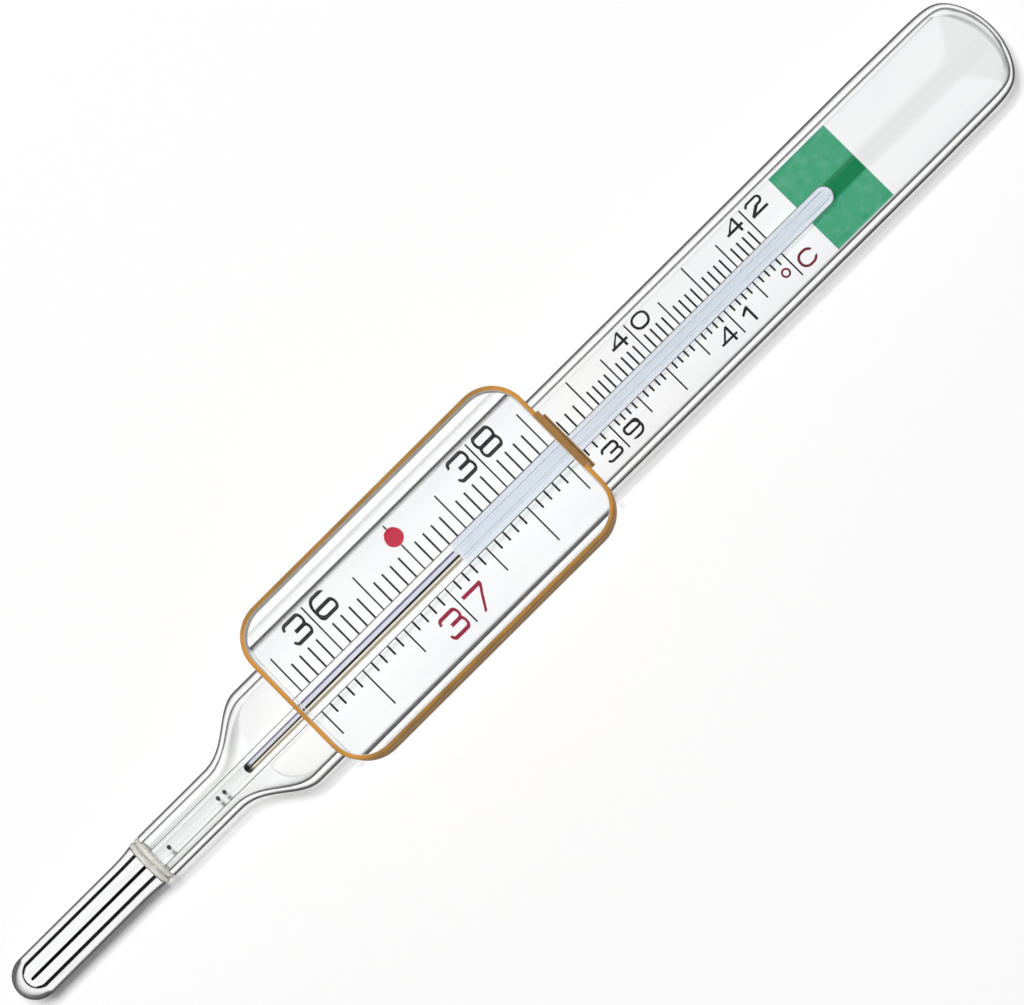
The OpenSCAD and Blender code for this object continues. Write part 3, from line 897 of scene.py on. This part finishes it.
@dataclass
class GlassEnvelope:
    """The drawn sheath and its sealed top end, in one piece of glass."""

    dome: float = 10 * MM
    wall: float = 0.75 * MM
    neck_radius: float = 2.5 * MM
    bore_radius: float = 1.9 * MM
    neck_length: float = 8.5 * MM
    shoulder_length: float = 7.2 * MM
    shoulder_skew: float = 1.15
    end_radius: float = 7.8 * MM
    end_wall: float = 0.45 * MM
    end_power: float = 8.0
    sides: int = 160
    neck_steps: int = 6
    shoulder_steps: int = 36
    barrel_steps: int = 16
    end_steps: int = 40

    def __post_init__(self) -> None:
        """Reads the places that the frame gives."""
        low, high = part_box("glass_sheath")
        self.neck_x = low.x
        self.end_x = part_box("end_seal")[1].x
        self.axis_z = (low.z + high.z) / 2
        self.section = Oval(high.y - low.y, high.z - low.z, self.dome)

    def rings(self, wall: float, neck: float) -> list[Ring]:
        """Rings of one surface, from the neck to the middle of the top end.

        Args:
            wall: how far the surface lies inside the outer one.
            neck: radius of the surface in the neck.

        Returns:
            The rings.
        """
        full = self.section.grown(-wall).radius
        shoulder_x = self.neck_x + self.neck_length
        barrel_x = shoulder_x + self.shoulder_length
        half_width = self.section.width / 2 - wall
        dome_r = self.end_radius - min(wall, self.end_wall)
        dome_x = self.end_x - self.end_radius

        def shoulder(share: float) -> Callable[[float], float]:
            """Radius of the shoulder at a share of its length."""
            ease = 0.5 - 0.5 * math.cos(math.pi * share**self.shoulder_skew)
            return lambda a: neck + (full(a) - neck) * ease

        def capped(limit: float) -> Callable[[float], float]:
            """Radius of the top end where its dome is limit wide."""
            power = self.end_power
            shrink = (1 + (half_width / limit) ** power) ** (-1 / power)
            return lambda a: full(a) * shrink

        straight = even(self.neck_x + HAIR, shoulder_x, self.neck_steps)[:-1]
        rings = [(x, lambda a: neck) for x in straight]
        shares = even(0, 1, self.shoulder_steps)
        rings += [(shoulder_x + s * self.shoulder_length, shoulder(s)) for s in shares]
        rings += [(x, full) for x in even(barrel_x, dome_x, self.barrel_steps)[1:-1]]
        for turn in even(0, math.pi / 2, self.end_steps):
            rings.append((dome_x + dome_r * math.sin(turn), capped(max(dome_r * math.cos(turn), POLE))))
        return rings

    def build(self) -> None:
        """Makes the envelope."""
        blank = Blank()
        outside = self.rings(0, self.neck_radius)
        inside = self.rings(self.wall, self.bore_radius)
        blank.loft(outside[::-1] + inside, self.sides, self.axis_z)
        piece = blank.set_down("glass_envelope", Slot.SHEATH_GLASS, CLEAR_GLASS, ["glass_sheath", "end_seal"])
        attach(piece, Body.THERMOMETER.value)


@dataclass
class Bulb:
    """The bulb: its glass, the liquid in it, the pin down its middle and the collar at its neck."""

    tip_wall: float = 0.6 * MM
    bore_radius: float = 1.95 * MM
    flare: float = 0.2 * MM
    flare_length: float = 2.4 * MM
    flare_steps: int = 10
    bead_radius: float = 0.3 * MM
    bead_steps: int = 16
    passage_radius: float = 0.3 * MM
    pin_radius: float = 0.22 * MM
    pin_tip_radius: float = 0.07 * MM
    pin_gap: float = 0.02 * MM
    glass: Finish = ClearFinish("blown_bulb_glass", tint=(0.985, 0.99, 0.985, 1))
    # The collar's olive outline is painted shade at the edges of its beads.
    weld: Finish = ClearFinish(
        "fused_collar_glass", tint=(0.98, 0.98, 0.93, 1), painted_outline_tint=(0.3, 0.3, 0.2, 1),
        painted_outline_share=0.45, milk_share=0.5,
    )
    liquid: Finish = LiquidFinish(
        "bulb_liquid_metal", colour=(0.97, 0.97, 0.975, 1), film=(0.9, 0.9, 0.91, 1)
    )

    def __post_init__(self) -> None:
        """Reads the places that the frame gives."""
        low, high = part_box("bulb_glass")
        self.radius = (high.z - low.z) / 2
        self.axis_z = (low.z + high.z) / 2
        self.tip_x = low.x
        self.collar_x, self.neck_x = (corner.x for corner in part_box("weld_collar"))
        self.collar_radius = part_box("weld_collar")[1].y
        self.pin_x, self.pin_end_x = (corner.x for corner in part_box("constriction_pin"))

    def turned(self, name: str, slot: Slot, finish: Finish, node: str, outline: Sequence[Point]) -> None:
        """Makes a round piece on the thermometer's axis.

        Args:
            name: the piece's name.
            slot: the record's finish.
            finish: its finish here.
            node: the CAD node that it replaces.
            outline: its outline as (x, radius).
        """
        blank = Blank()
        blank.turn(outline, self.axis_z)
        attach(blank.set_down(name, slot, finish, [node]), Body.THERMOMETER.value)

    def build(self) -> None:
        """Makes the four pieces."""
        self.build_glass()
        self.build_liquid()
        self.build_pin()
        self.build_collar()

    def build_glass(self) -> None:
        """Makes the blown glass, which flares a little into the collar."""
        end_x = self.collar_x - HAIR
        bore_x = self.tip_x + self.tip_wall + self.bore_radius
        outline = arc((self.tip_x + self.radius, 0), self.radius, 180, 90)
        for share in even(0, 1, self.flare_steps):
            x = end_x - self.flare_length * (1 - share)
            outline.append((x, self.radius + self.flare * share**2))
        outline.append((end_x, self.bore_radius))
        outline += arc((bore_x, 0), self.bore_radius, 90, 180)
        self.turned("bulb_glass_blown", Slot.BULB_GLASS, self.glass, "bulb_glass", outline)

    def build_liquid(self) -> None:
        """Makes the liquid, which wets the bore and leaves a hole for the pin."""
        radius = self.bore_radius + HAIR / 2
        hole = self.pin_radius + self.pin_gap
        end_x = self.collar_x - 2 * HAIR
        outline = arc((self.tip_x + self.tip_wall + self.bore_radius, 0), radius, 180, 90)
        floor_x = self.pin_x - self.pin_gap
        outline += [(end_x, radius), (end_x, hole), (floor_x, hole), (floor_x, 0)]
        self.turned("bulb_liquid_fill", Slot.LIQUID_METAL, self.liquid, "bulb_liquid", outline)

    def build_pin(self) -> None:
        """Makes the glass pin, drawn fine where it enters the bore of the capillary."""
        outline = [
            (self.pin_x, 0), (self.pin_x, self.pin_radius), (self.collar_x, self.pin_radius),
            (self.neck_x, self.pin_tip_radius), (self.pin_end_x, self.pin_tip_radius), (self.pin_end_x, 0),
        ]
        self.turned("drawn_pin", Slot.BULB_GLASS, self.glass, "constriction_pin", outline)

    def build_collar(self) -> None:
        """Makes the fused collar: two beads side by side round the passage."""
        low_x, high_x = self.collar_x + HAIR, self.neck_x - HAIR
        root = self.collar_radius - self.bead_radius
        outline = [(low_x, self.passage_radius)]
        for centre in (low_x + self.bead_radius, high_x - self.bead_radius):
            outline += arc((centre, root), self.bead_radius, 180, 0, self.bead_steps)
        outline.append((high_x, self.passage_radius))
        self.turned("fused_collar", Slot.WELD_GLASS, self.weld, "weld_collar", outline)


@dataclass
class Capillary:
    """The capillary with its flat bore, and the liquid in it."""

    bore_width: float = 0.7 * MM
    bore_height: float = 0.2 * MM
    cap: float = 0.8 * MM
    wet: float = 0.01 * MM
    drop_length: float = 0.4 * MM
    drop_shares: tuple[float, ...] = (0.0, 0.884, 1.0)
    enamel_share: float = 0.45
    sides: int = 96
    tube_steps: int = 8
    cap_steps: int = 20
    ribbon_steps: int = 60
    tip_steps: int = 10
    # The droplets are the liquid metal painted near black: a painted shade of the dark they mirror in the
    # bore.
    painted_dark_drops: Finish = LiquidFinish(
        "painted_dark_droplets", colour=(0.1, 0.1, 0.11, 1), film=(0.05, 0.05, 0.06, 1)
    )

    def __post_init__(self) -> None:
        """Reads the places that the frame gives."""
        low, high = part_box("capillary_tube")
        self.low_x, self.high_x = low.x, high.x
        self.radius = (high.z - low.z) / 2
        self.axis_y = (low.y + high.y) / 2
        self.axis_z = (low.z + high.z) / 2
        self.root_x, self.stretch_x = (corner.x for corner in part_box("liquid_thread"))
        self.reading_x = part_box("thread_tip")[1].x
        self.ribbon_half = (self.bore_width - self.wet) / 2

    def build(self) -> None:
        """Makes the tube, the droplets and the thread."""
        self.build_tube()
        self.build_droplets()
        self.build_thread()

    def build_tube(self) -> None:
        """Makes the tube, with a round closed top and an oval bore."""
        round_x = self.high_x - self.radius
        bore_x = self.high_x - self.cap
        bore = flat_oval(self.bore_width / 2, self.bore_height / 2)
        straight = even(self.low_x + HAIR, round_x, self.tube_steps)[:-1]
        outer: list[Ring] = [(x, lambda a: self.radius) for x in straight]
        for turn in even(0, math.pi / 2, self.cap_steps):
            wide = self.radius * math.cos(turn)
            outer.append((round_x + self.radius * math.sin(turn), lambda a, wide=wide: wide))
        inner: list[Ring] = [(x, bore) for x in even(self.low_x + HAIR, bore_x, self.tube_steps)]
        inner.append((bore_x, lambda a: 0.0))
        blank = Blank()
        blank.loft(outer[::-1] + inner, self.sides, self.axis_z)
        blank.shift((0, self.axis_y, 0))
        back_z = self.axis_z - self.enamel_share * self.radius
        finish = BackedFinish(
            "capillary_tube_glass", tint=(0.975, 0.985, 0.995, 1), ior=1.5, back_z=back_z,
            centre=self.axis_y, blue_x=self.reading_x,
        )
        piece = blank.set_down("capillary_glass_tube", Slot.CAPILLARY_GLASS, finish, ["capillary_tube"])
        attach(piece, Body.THERMOMETER.value)

    def build_droplets(self) -> None:
        """Makes the droplets left in the bore below the thread, where the frame has them."""
        blank = Blank()
        low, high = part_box("liquid_beads")
        half = (self.drop_length / 2, (high.y - low.y) / 2, (high.z - low.z) / 2)
        first, last = low.x + half[0], high.x - half[0]
        for share in self.drop_shares:
            place = Matrix.Translation((first + (last - first) * share, self.axis_y, self.axis_z))
            size = Matrix.Diagonal((*half, 1))
            bmesh.ops.create_uvsphere(blank.mesh, u_segments=24, v_segments=16, radius=1, matrix=place @ size)
        piece = blank.set_down("stray_droplets", Slot.LIQUID_METAL, self.painted_dark_drops, ["liquid_beads"])
        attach(piece, Body.THERMOMETER.value)

    def build_thread(self) -> None:
        """Makes the ribbon of liquid, which stretches as its tip rises."""
        # The ribbon's colours are painted reflections of the liquid metal.
        finish = ThreadReflectionFinish(
            "liquid_ribbon", lilac=(0.86, 0.84, 0.93, 1), cream=(0.95, 0.88, 0.76, 1),
            middle=(0.008, 0.007, 0.008, 1), left=(0.13, 0.12, 0.27, 1), right=(0.42, 0.33, 0.2, 1),
            centre=self.axis_y, half_width=self.ribbon_half, root_x=self.root_x,
        )
        half = self.ribbon_half
        low_x, high_x = self.root_x + half, self.reading_x - half
        quarter = even(0, math.pi / 2, self.tip_steps)
        rings: list[Ring] = [(low_x - half * math.cos(t), self.ribbon(math.sin(t))) for t in quarter]
        rings += [(x, self.ribbon(1)) for x in even(low_x, high_x, self.ribbon_steps)[1:]]
        rings += [(high_x + half * math.sin(t), self.ribbon(math.cos(t))) for t in quarter[1:]]
        blank = Blank()
        blank.loft(rings, self.sides // 2, self.axis_z)
        blank.shift((0, self.axis_y, 0))
        piece = blank.set_down("liquid_ribbon", Slot.LIQUID_METAL, finish, ["liquid_thread", "thread_tip"])
        piece.visible_shadow = False
        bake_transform(piece)

    def ribbon(self, share: float) -> Callable[[float], float]:
        """Section of the ribbon at a share of its full size."""
        half_height = (self.bore_height - self.wet) / 2
        return flat_oval(max(self.ribbon_half * share, 2 * POLE), max(half_height * share, POLE))


@dataclass
class ScaleFace:
    """The plate and its print, whose CAD solids stay and get their finish."""

    finishes: tuple[tuple[str, Slot, Finish], ...] = (
        (
            "scale_plate", Slot.PLATE_WHITE,
            EnamelFinish(
                "scale_enamel", white=(0.97, 0.97, 0.975, 1), cast=(0.94, 0.94, 0.96, 1),
                painted_reflection=(0.87, 0.87, 0.87, 1),
            ),
        ),
        (
            "colour_band", Slot.BAND_GREEN,
            BandFinish("green_band_ink", full=(0.05, 0.36, 0.19, 1), thin=(0.09, 0.4, 0.24, 1), grain=1.4),
        ),
        (
            "black_scale_print", Slot.INK_BLACK,
            InkFinish("black_print_ink", full=(0.006, 0.006, 0.007, 1), thin=(0.02, 0.022, 0.022, 1)),
        ),
        (
            "red_scale_print", Slot.INK_RED,
            SignalInkFinish("red_print_ink", full=(0.29, 0.008, 0.036, 1), thin=(0.36, 0.014, 0.05, 1)),
        ),
    )

    def dress(self) -> None:
        """Gives each solid its finish."""
        for node, slot, finish in self.finishes:
            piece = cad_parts[node]
            piece.data.materials.clear()
            piece.data.materials.append(finish.material())
            log.info("%s: dressed with %s", node, finish.name)


@dataclass
class Magnifier:
    """The bar magnifier: lens, two rim halves, two saddles with their pads, and the friction spring."""

    corner: float = 3.8 * MM
    rim: float = 0.45 * MM
    lens_radius: float = 24 * MM
    crown_offset: float = 1.2 * MM
    lens_gap: float = 0.02 * MM
    lens_cuts: int = 56
    lip_round: float = 0.18 * MM
    inner_round: float = 0.1 * MM
    seam: float = 0.05 * MM
    saddle_inner: float = 0.54 * MM
    saddle_outer: float = 1.84 * MM
    pad_inner: float = 0.12 * MM
    pad_outer: float = 0.52 * MM
    saddle_round: float = 0.08 * MM
    pad_round: float = 0.06 * MM
    strip: float = 0.25 * MM
    foot_radius: float = 0.3 * MM
    bend: float = 0.35 * MM
    bend_steps: int = 8
    foot_turn: float = 250.0
    foot_steps: int = 20
    arch_steps: int = 72
    halvings: int = 40
    lens: Finish = GroundFinish(
        "bar_lens_acrylic", tint=(0.99, 0.995, 1, 1), ior=1.49, ground_y=(7.5 * MM, 8 * MM)
    )
    # The saddles carry a faint painted outline of shade.
    clear: Finish = ClearFinish(
        "saddle_acrylic", tint=(0.99, 0.99, 0.99, 1), painted_outline_share=0.15, faint=0.75, ior=1.49
    )
    silicone: Finish = SiliconeFinish(
        "pad_silicone_milk", colour=(0.85, 0.85, 0.83, 1), dust=(0.7, 0.69, 0.66, 1)
    )
    bronze: Finish = BronzeFinish(
        "rolled_bronze", bright=(0.7, 0.4, 0.14, 1), tarnish=(0.3, 0.14, 0.04, 1)
    )

    def __post_init__(self) -> None:
        """Reads the places that the frame gives."""
        low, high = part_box("lens_frame")
        self.centre = ((low.x + high.x) / 2, (low.y + high.y) / 2)
        self.low, self.seam_z, self.high_x = low, high.z, high.x
        self.length, self.width = high.x - low.x, high.y - low.y
        self.top_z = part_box("lens_bezel")[1].z
        lens_low, lens_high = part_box("magnifier_lens")
        self.lens_height = lens_high.z - lens_low.z
        self.lacquer: Finish = LacquerFinish(
            "rim_lacquer", orange=(0.66, 0.3, 0.06, 1), brown=(0.28, 0.17, 0.06, 1),
            worn=(0.6, 0.38, 0.14, 1), lining=(0.96, 0.94, 0.9, 1), middle=self.centre,
            half=(self.length / 2, self.width / 2), corner=self.corner, rim=self.rim,
        )

    def build(self, barrel: Oval, axis_z: float) -> None:
        """Makes the pieces of the magnifier.

        Args:
            barrel: the section of the barrel that the saddles hug.
            axis_z: height of the barrel's axis.
        """
        self.build_lens()
        self.build_rim("rim_lower_half", "lens_frame", self.low.z)
        self.build_rim("rim_upper_half", "lens_bezel", self.top_z)
        for end in ("upper", "lower"):
            self.build_saddle(end, barrel, axis_z)
            self.build_pad(end, barrel, axis_z)
        self.build_spring()

    def build_lens(self) -> None:
        """Makes the lens: a rounded bar with two cylindrical faces."""
        half = self.lens_height / 2
        inset = self.rim + self.lens_gap
        wide = self.width - 2 * inset
        blank = Blank()
        face = blank.sheet((*self.centre, -half), self.length - 2 * inset, wide, self.corner - inset)
        blank.thicken([face], (0, 0, self.lens_height))
        for y in even(-wide / 2, wide / 2, self.lens_cuts)[1:-1]:
            everything = [*blank.mesh.verts, *blank.mesh.edges, *blank.mesh.faces]
            cut = {"dist": HAIR / 100, "plane_co": (0, y, 0), "plane_no": (0, 1, 0)}
            bmesh.ops.bisect_plane(blank.mesh, geom=everything, **cut)
        for v in blank.mesh.verts:
            off_crown = v.co.y + self.crown_offset
            drop = self.lens_radius - math.sqrt(self.lens_radius**2 - off_crown**2)
            v.co.z = self.seam_z + math.copysign(half - drop, v.co.z)
        piece = blank.set_down("bar_lens", Slot.LENS_CLEAR, self.lens, ["magnifier_lens"])
        self.mount(piece)

    def mount(self, piece: bpy.types.Object) -> None:
        """Fixes a piece to the magnifier, which lets the lamp through to the scale."""
        piece.visible_shadow = False
        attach(piece, Body.MAGNIFIER.value)

    def build_rim(self, name: str, node: str, face_z: float) -> None:
        """Makes one half of the rim, with a rounded outer lip.

        Args:
            name: the piece's name.
            node: the CAD node that it replaces.
            face_z: height of its outer face.
        """
        blank = Blank()
        face = blank.sheet((*self.centre, self.seam_z), self.length, self.width, self.corner)
        evenly = {"use_even_offset": True, "use_boundary": True}
        bmesh.ops.inset_region(blank.mesh, faces=[face], thickness=self.rim, **evenly)
        bmesh.ops.delete(blank.mesh, geom=[face], context="FACES")
        blank.thicken(blank.mesh.faces[:], (0, 0, face_z - self.seam_z))

        def lies_on(z: float, edge: bmesh.types.BMEdge) -> bool:
            """Whether an edge lies at a height."""
            return all(abs(v.co.z - z) < HAIR for v in edge.verts)

        def outside(edge: bmesh.types.BMEdge) -> bool:
            """Whether an edge lies on the rim's outer outline."""
            return all(self.is_outer(v.co) for v in edge.verts)

        blank.soften(lambda e: lies_on(face_z, e) and outside(e), self.lip_round, segments=5)
        blank.soften(lambda e: lies_on(face_z, e) and not outside(e), self.inner_round, segments=3)
        blank.soften(lambda e: lies_on(self.seam_z, e) and outside(e), self.seam, segments=2)
        self.mount(blank.set_down(name, Slot.FRAME_ORANGE, self.lacquer, [node]))

    def is_outer(self, point: Vector) -> bool:
        """Whether a point of the rim lies on its outer outline."""
        along = abs(point.x - self.centre[0]) - (self.length / 2 - self.corner)
        across = abs(point.y - self.centre[1]) - (self.width / 2 - self.corner)
        reach = math.hypot(max(along, 0), max(across, 0))
        return reach > self.corner - self.rim / 4

    def arch(self, section: Oval, floor_z: float, axis_z: float) -> list[Point]:
        """The open side of an oval above a height, from one lip over the front to the other.

        Args:
            section: the oval.
            floor_z: height of the lips.
            axis_z: height of the oval's axis.

        Returns:
            Points as (y, z), from the -Y lip to the +Y lip.
        """
        low, high = -math.pi / 2, 0.0
        for _ in range(self.halvings):
            middle = (low + high) / 2
            below = axis_z + section.radius(middle) * math.sin(middle) < floor_z
            low, high = (middle, high) if below else (low, middle)
        turns = even(math.pi - high, high, self.arch_steps)
        return [(section.radius(t) * math.cos(t), axis_z + section.radius(t) * math.sin(t)) for t in turns]

    def plate_across(self, node: str, outline: Sequence[Point]) -> Blank:
        """A plate across the stem, between the faces that a node has.

        Args:
            node: the CAD node that gives its place along X.
            outline: its outline as (y, z).

        Returns:
            The plate on the bench.
        """
        low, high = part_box(node)
        blank = Blank()
        edges = blank.chain([(low.x, y, z) for y, z in outline], closed=True)
        face = bmesh.ops.contextual_create(blank.mesh, geom=edges)["faces"][0]
        blank.thicken([face], (high.x - low.x, 0, 0))
        return blank

    def build_saddle(self, end: str, barrel: Oval, axis_z: float) -> None:
        """Makes a saddle: a clear bridge from the barrel up to the rim."""
        node = f"{end}_saddle"
        low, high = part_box(node)
        inside = self.arch(barrel.grown(self.saddle_inner), low.z, axis_z)
        outside = [p for p in self.arch(barrel.grown(self.saddle_outer), low.z, axis_z) if p[1] < axis_z]
        left = [p for p in outside if p[0] < 0] + [(low.y, axis_z), (low.y, high.z)]
        right = [(high.y, high.z), (high.y, axis_z)] + [p for p in outside if p[0] > 0]
        blank = self.plate_across(node, inside[::-1] + left + right)
        blank.soften(lambda e: True, self.saddle_round, segments=2)
        self.mount(blank.set_down(f"{end}_clear_saddle", Slot.SADDLE_CLEAR, self.clear, [node]))

    def build_pad(self, end: str, barrel: Oval, axis_z: float) -> None:
        """Makes the grip pad that lines a saddle."""
        node = f"{end}_saddle_pad"
        floor_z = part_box(node)[0].z
        inside = self.arch(barrel.grown(self.pad_inner), floor_z, axis_z)
        outside = self.arch(barrel.grown(self.pad_outer), floor_z, axis_z)
        blank = self.plate_across(node, inside[::-1] + outside)
        blank.soften(lambda e: True, self.pad_round, segments=2)
        self.mount(blank.set_down(f"{end}_grip_pad", Slot.PAD_SILICONE, self.silicone, [node]))

    def build_spring(self) -> None:
        """Makes the spring: a strip bent over the rim, with a rolled foot that runs on the barrel."""
        low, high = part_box("friction_spring")
        back_x, top_z = self.high_x + self.strip, high.z
        foot = (self.high_x + self.foot_radius, low.z + self.foot_radius)
        curl = self.foot_radius - self.strip
        path = [(low.x, top_z)]
        path += arc((back_x - self.bend, top_z - self.bend), self.bend, 90, 0, self.bend_steps)
        path += arc(foot, curl, 180, 180 + self.foot_turn, self.foot_steps)
        blank = Blank()
        edges = blank.chain([(x, low.y, z) for x, z in path])
        made = bmesh.ops.extrude_edge_only(blank.mesh, edges=edges)["geom"]
        far = [g for g in made if isinstance(g, bmesh.types.BMVert)]
        bmesh.ops.translate(blank.mesh, vec=(0, high.y - low.y, 0), verts=far)
        bmesh.ops.recalc_face_normals(blank.mesh, faces=blank.mesh.faces[:])
        bmesh.ops.solidify(blank.mesh, geom=blank.mesh.faces[:], thickness=self.strip)
        self.mount(blank.set_down("bent_spring_strip", Slot.SPRING_BRONZE, self.bronze, ["friction_spring"]))


@dataclass(frozen=True)
class Softbox:
    """A soft lamp over the table that nothing mirrors: its place round the stem's axis and its light."""

    name: str
    lean: float
    distance: float
    length: float
    width: float
    radiance: float

    def hang(self) -> None:
        """Hangs the lamp so that it faces the object."""
        data = bpy.data.lights.new(self.name, "AREA")
        data.shape = "RECTANGLE"
        data.size, data.size_y = self.length, self.width
        data.energy = self.radiance * math.pi * self.length * self.width
        lamp = bpy.data.objects.new(self.name, data)
        lamp.visible_glossy = False
        lamp.visible_transmission = False
        turn = Matrix.Rotation(math.radians(-self.lean), 4, "X")
        lamp.matrix_world = turn @ Matrix.Translation((0, 0, self.distance))
        bpy.context.scene.collection.objects.link(lamp)


@dataclass(frozen=True)
class CardFinish(Finish):
    """Matt black card."""

    black: Colour = (0.012, 0.012, 0.012, 1)
    fibre: Colour = (0.018, 0.018, 0.018, 1)

    def paint(self, graph: Graph) -> None:
        """Writes the card and its faint fibres."""
        fibres = graph.noise((0.02, 0.02, 0.02))
        graph.surface(graph.matt(graph.mix(fibres, self.black, self.fibre)))


@dataclass
class Studio:
    """The table, the lamp, the black cards that the camera doesn't see, and the camera."""

    floor_size: float = 6.0
    floor_drop: float = 0.02 * MM
    floor: Finish = FloorFinish(
        "white_table_paper", paper=(0.93, 0.93, 0.93, 1), fibre=(0.8, 0.8, 0.8, 1), glow=0.08
    )
    card: Finish = CardFinish("black_card")
    card_lean: float = -5.0
    card_height: float = 1.5
    card_length: float = 4.0
    card_width: float = 0.5
    flag_distance: float = 0.6
    flag_heights: tuple[float, float] = (0.26, 0.1)
    flag_length: float = 2.0
    sky: Colour = (1, 1, 1, 1)
    sky_dim: float = 0.12
    bounces: int = 32
    key: Softbox = Softbox("key_lamp", lean=9, distance=1.0, length=0.24, width=0.24, radiance=49.5)
    lens: float = 180.0
    sensor: float = 36.0
    view_width: float = 94.8 * MM
    view_tilt: float = 5.5
    view_turn: float = -44.83
    aim: tuple[float, float, float] = (0.9 * MM, 0.0, 3.5 * MM)

    def build(self) -> None:
        """Sets up the whole studio."""
        drop = Matrix.Translation((0, 0, -self.floor_drop))
        self.lay("table", drop, self.floor_size, self.floor_size, self.floor)
        lean = Matrix.Rotation(math.radians(-self.card_lean), 4, "X")
        hung = lean @ Matrix.Translation((0, 0, self.card_height))
        self.lay("card", hung, self.card_length, self.card_width, self.card)
        upright = Matrix.Rotation(math.pi / 2, 4, "X")
        for k in range(4):
            height = self.flag_heights[k % 2]
            stood = Matrix.Translation((0, self.flag_distance, height / 2))
            place = Matrix.Rotation(k * math.pi / 2, 4, "Z") @ stood @ upright
            self.lay(f"flag_{k}", place, self.flag_length, height, self.card)
        self.light()
        self.place_camera()

    def lay(self, name: str, place: Matrix, length: float, width: float, finish: Finish) -> None:
        """Lays a flat sheet of the studio.

        Args:
            name: the sheet's name.
            place: where its middle goes and how it is turned.
            length: its size along X.
            width: its size across.
            finish: its finish.
        """
        mesh = bmesh.new()
        size = Matrix.Diagonal((length, width, 1, 1))
        bmesh.ops.create_grid(mesh, x_segments=1, y_segments=1, size=0.5, matrix=place @ size)
        data = bpy.data.meshes.new(name)
        mesh.to_mesh(data)
        mesh.free()
        data.materials.append(finish.material())
        sheet = bpy.data.objects.new(name, data)
        sheet.visible_camera = finish is not self.card
        bpy.context.scene.collection.objects.link(sheet)

    def light(self) -> None:
        """Hangs the lamp and sets the dim room round it."""
        self.key.hang()
        world = bpy.data.worlds.new("room")
        world.use_nodes = True
        graph = Graph(world.node_tree, "ShaderNodeOutputWorld")
        seen = graph.rays("Is Camera Ray", "Is Glossy Ray", "Is Transmission Ray")
        strength = self.sky_dim + (1 - self.sky_dim) * seen
        graph.surface(graph.add("ShaderNodeBackground", None, {"Color": self.sky, "Strength": strength}))
        scene = bpy.context.scene
        scene.world = world
        scene.view_settings.view_transform = "Standard"
        scene.cycles.max_bounces = self.bounces
        scene.cycles.transmission_bounces = self.bounces
        scene.cycles.transparent_max_bounces = self.bounces

    def place_camera(self) -> None:
        """Puts the camera above the scale, with the stem across the picture."""
        data = bpy.data.cameras.new("camera")
        data.lens = self.lens
        data.sensor_width = self.sensor
        camera = bpy.data.objects.new("camera", data)
        distance = self.view_width * self.lens / self.sensor
        tilt = Matrix.Rotation(math.radians(self.view_tilt), 4, "X")
        turn = Matrix.Rotation(math.radians(self.view_turn), 4, "Z")
        away = Matrix.Translation((0, 0, distance))
        camera.matrix_world = Matrix.Translation(self.aim) @ tilt @ away @ turn
        bpy.context.scene.collection.objects.link(camera)
        bpy.context.scene.camera = camera


def main() -> None:
    """Builds the thermometer and its studio, in order."""
    logging.basicConfig(level=logging.INFO, format="%(name)s: %(message)s")
    envelope = GlassEnvelope()
    envelope.build()
    Bulb().build()
    Capillary().build()
    ScaleFace().dress()
    Magnifier().build(envelope.section, envelope.axis_z)
    Studio().build()


if __name__ == "__main__":
    main()
